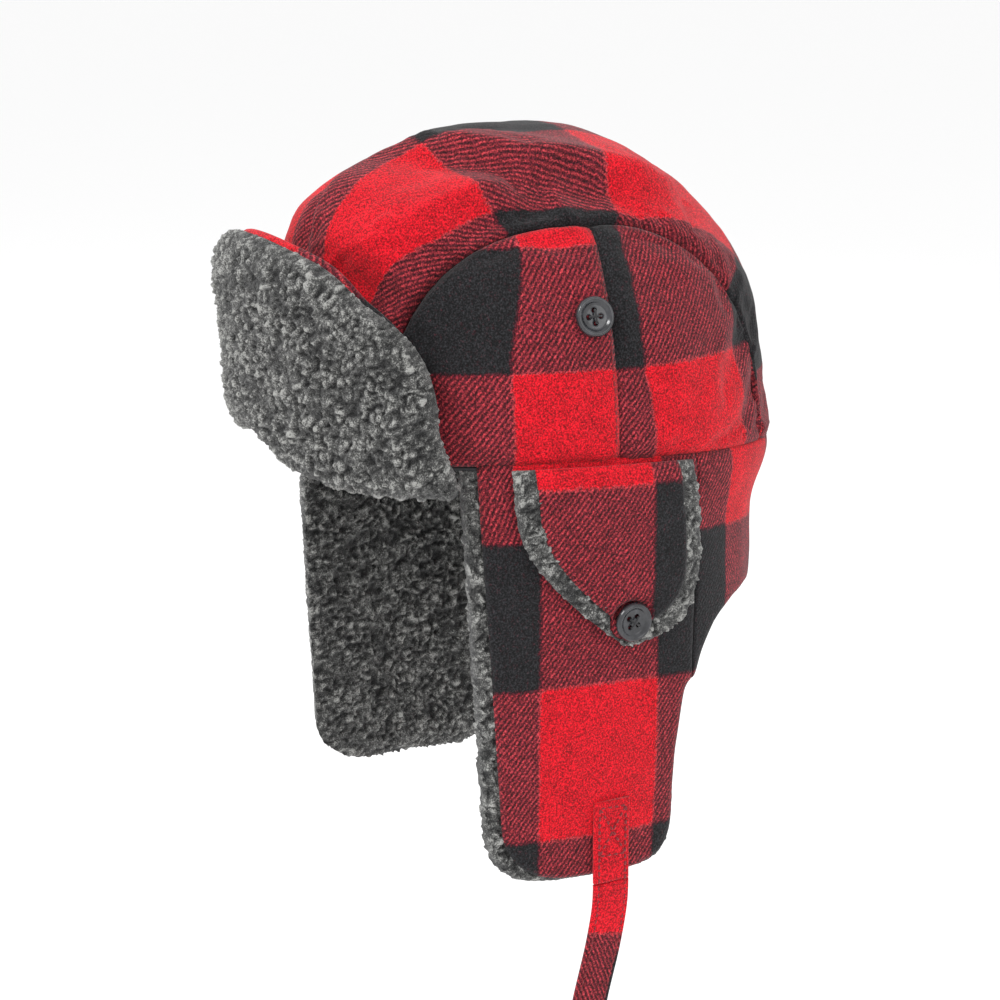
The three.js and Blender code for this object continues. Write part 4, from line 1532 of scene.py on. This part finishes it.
def make_button(name, nodes, body, centre, normal, standoff, spin):
    """A four-hole button with a raised round rim and a dished middle. nodes are the CAD
    button and the CAD thread that it stands for."""
    RADII = [0, 3.6, 5.3, 6.0, 6.8, 7.6, 8.05, BUTTON_RADIUS]
    TOP = [1.75, 1.8, 1.95, 2.8, 3.4, 3.3, 2.6, 1.8]
    BACK = [0.15, 0.1, 0, 0, 0.1, 0.35, 0.9, 1.6]
    spots = [(x, y) for x in (-1, 1) for y in (-1, 1)]
    holes = [circle(x * BUTTON_HOLE_SPACING, y * BUTTON_HOLE_SPACING, BUTTON_HOLE_RADIUS, 18)
             for x, y in spots]
    loops = [circle(0, 0, BUTTON_RADIUS, 96), *holes]
    flat, quads = cut_cloth(loops, 0.27)
    radius = np.linalg.norm(flat, axis=1)
    rim = np.min([nearest_on(flat, hole)[0] for hole in holes], axis=0)
    fine = np.linspace(0, BUTTON_RADIUS, 120)
    even = np.convolve(np.pad(np.interp(fine, RADII, TOP), 4, "edge"), np.ones(9) / 9, "valid")
    top = np.interp(radius, fine, even) - 0.25 * (1 - rounded(rim, 0.5))
    back = np.interp(radius, RADII, BACK)
    cos, sin = math.cos(spin), math.sin(spin)
    turned = flat @ np.array([[cos, sin], [-sin, cos]])
    quads = facing(np.column_stack([flat, top]), quads, np.array([0, 0, 1.0]))
    front = placed(np.column_stack([turned, top + standoff]), centre, normal)
    rear = placed(np.column_stack([turned, back + standoff]), centre, normal)
    piece = make_layer(name, front, rear, quads, HORN)
    settle(piece, body, nodes[0])
    make_button_threads(name, nodes[1], body, centre, normal, standoff, spin)


def make_button_threads(name, node, body, centre, normal, standoff, spin):
    """Two threads crossed over a button between its holes. The first one replaces the node."""
    cos, sin = math.cos(spin), math.sin(spin)
    corner = BUTTON_HOLE_SPACING * 1.02
    for k, (a, b) in enumerate((((-1, -1), (1, 1)), ((-1, 1), (1, -1)))):
        t = np.linspace(-1, 1, 9)
        flat_line = np.array([mix(np.array(a), np.array(b), (x + 1) / 2) for x in t]) * corner
        height = 2.15 + 0.75 * (1 - t**4) + 0.15 * k + standoff
        line = np.column_stack([flat_line @ np.array([[cos, sin], [-sin, cos]]), height])
        thread = make_tube(f"{name}_thread_{k + 1}", placed(line, centre, normal), 0.42)
        settle(thread, body, node if k == 0 else None)


def make_tube(name, line, radius, sides=8):
    along = unit(np.gradient(line, axis=0))
    up = unit(np.cross(along, along[0] + [0.3, 0.5, 0.9]))
    side = np.cross(along, up)
    turn = math.tau * np.arange(sides) / sides
    rings = (line[:, None] + radius * (up[:, None] * np.cos(turn)[None, :, None]
                                       + side[:, None] * np.sin(turn)[None, :, None]))
    faces = tube_quads(len(line), sides).tolist()
    faces += [list(range(sides)), list(range((len(line) - 1) * sides, len(line) * sides))[::-1]]
    return make_mesh(name, rings.reshape(-1, 3), faces, DARK_THREAD)


def crown_button_place(side):
    aim = on_dome(side, CROWN_BUTTON_Y, CROWN_BUTTON_HEIGHT)
    step, rise = np.array([0, 0.5, 0]), np.array([0, 0, 0.5])
    along_y = dome_point(aim + step) - dome_point(aim - step)
    along_z = dome_point(aim + rise) - dome_point(aim - rise)
    normal = unit(np.cross(along_y, along_z))
    return dome_point(aim), normal * np.sign(normal[0] * side)


def make_buttons(label, side):
    outward = np.array([side, 0, 0.0])
    nodes = [f"ear_button_{label}", f"ear_button_thread_{label}"]
    make_button(f"flap_button_{label}", nodes, f"ear_flap_{label}",
                flap_point(side, BUTTON_Y, BUTTON_DROP), outward, BUTTON_STANDOFF, 0.15)
    point, normal = crown_button_place(side)
    nodes = [f"crown_button_{label}", f"crown_button_thread_{label}"]
    make_button(f"crown_button_horn_{label}", nodes, "crown",
                point, normal, CROWN_BUTTON_STANDOFF, 0.7)


# ---- CAD nodes that stay ----


def finish_node(node, material):
    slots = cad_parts[node].data.materials
    slots.clear()
    slots.append(material)


def finish_kept_nodes():
    finish_node("strap_hook_patch", HOOKS)
    finish_node("strap_loop_patch", HOOKS)


make_camera()
make_chin_strap()
make_studio()
centre_panel()
make_wadding()
make_lining()
make_sweatband()
visor_cloth()
visor_wadding()
visor_fleece()
for label, side in SIDES:
    side_panels(label, side)
    hanging_cloth(label, side)
    hanging_fleece(label, side)
    seam_strip(label, side)
    vent_cloth(label, side)
    vent_fleece(label, side)
    make_buttons(label, side)
finish_kept_nodes()
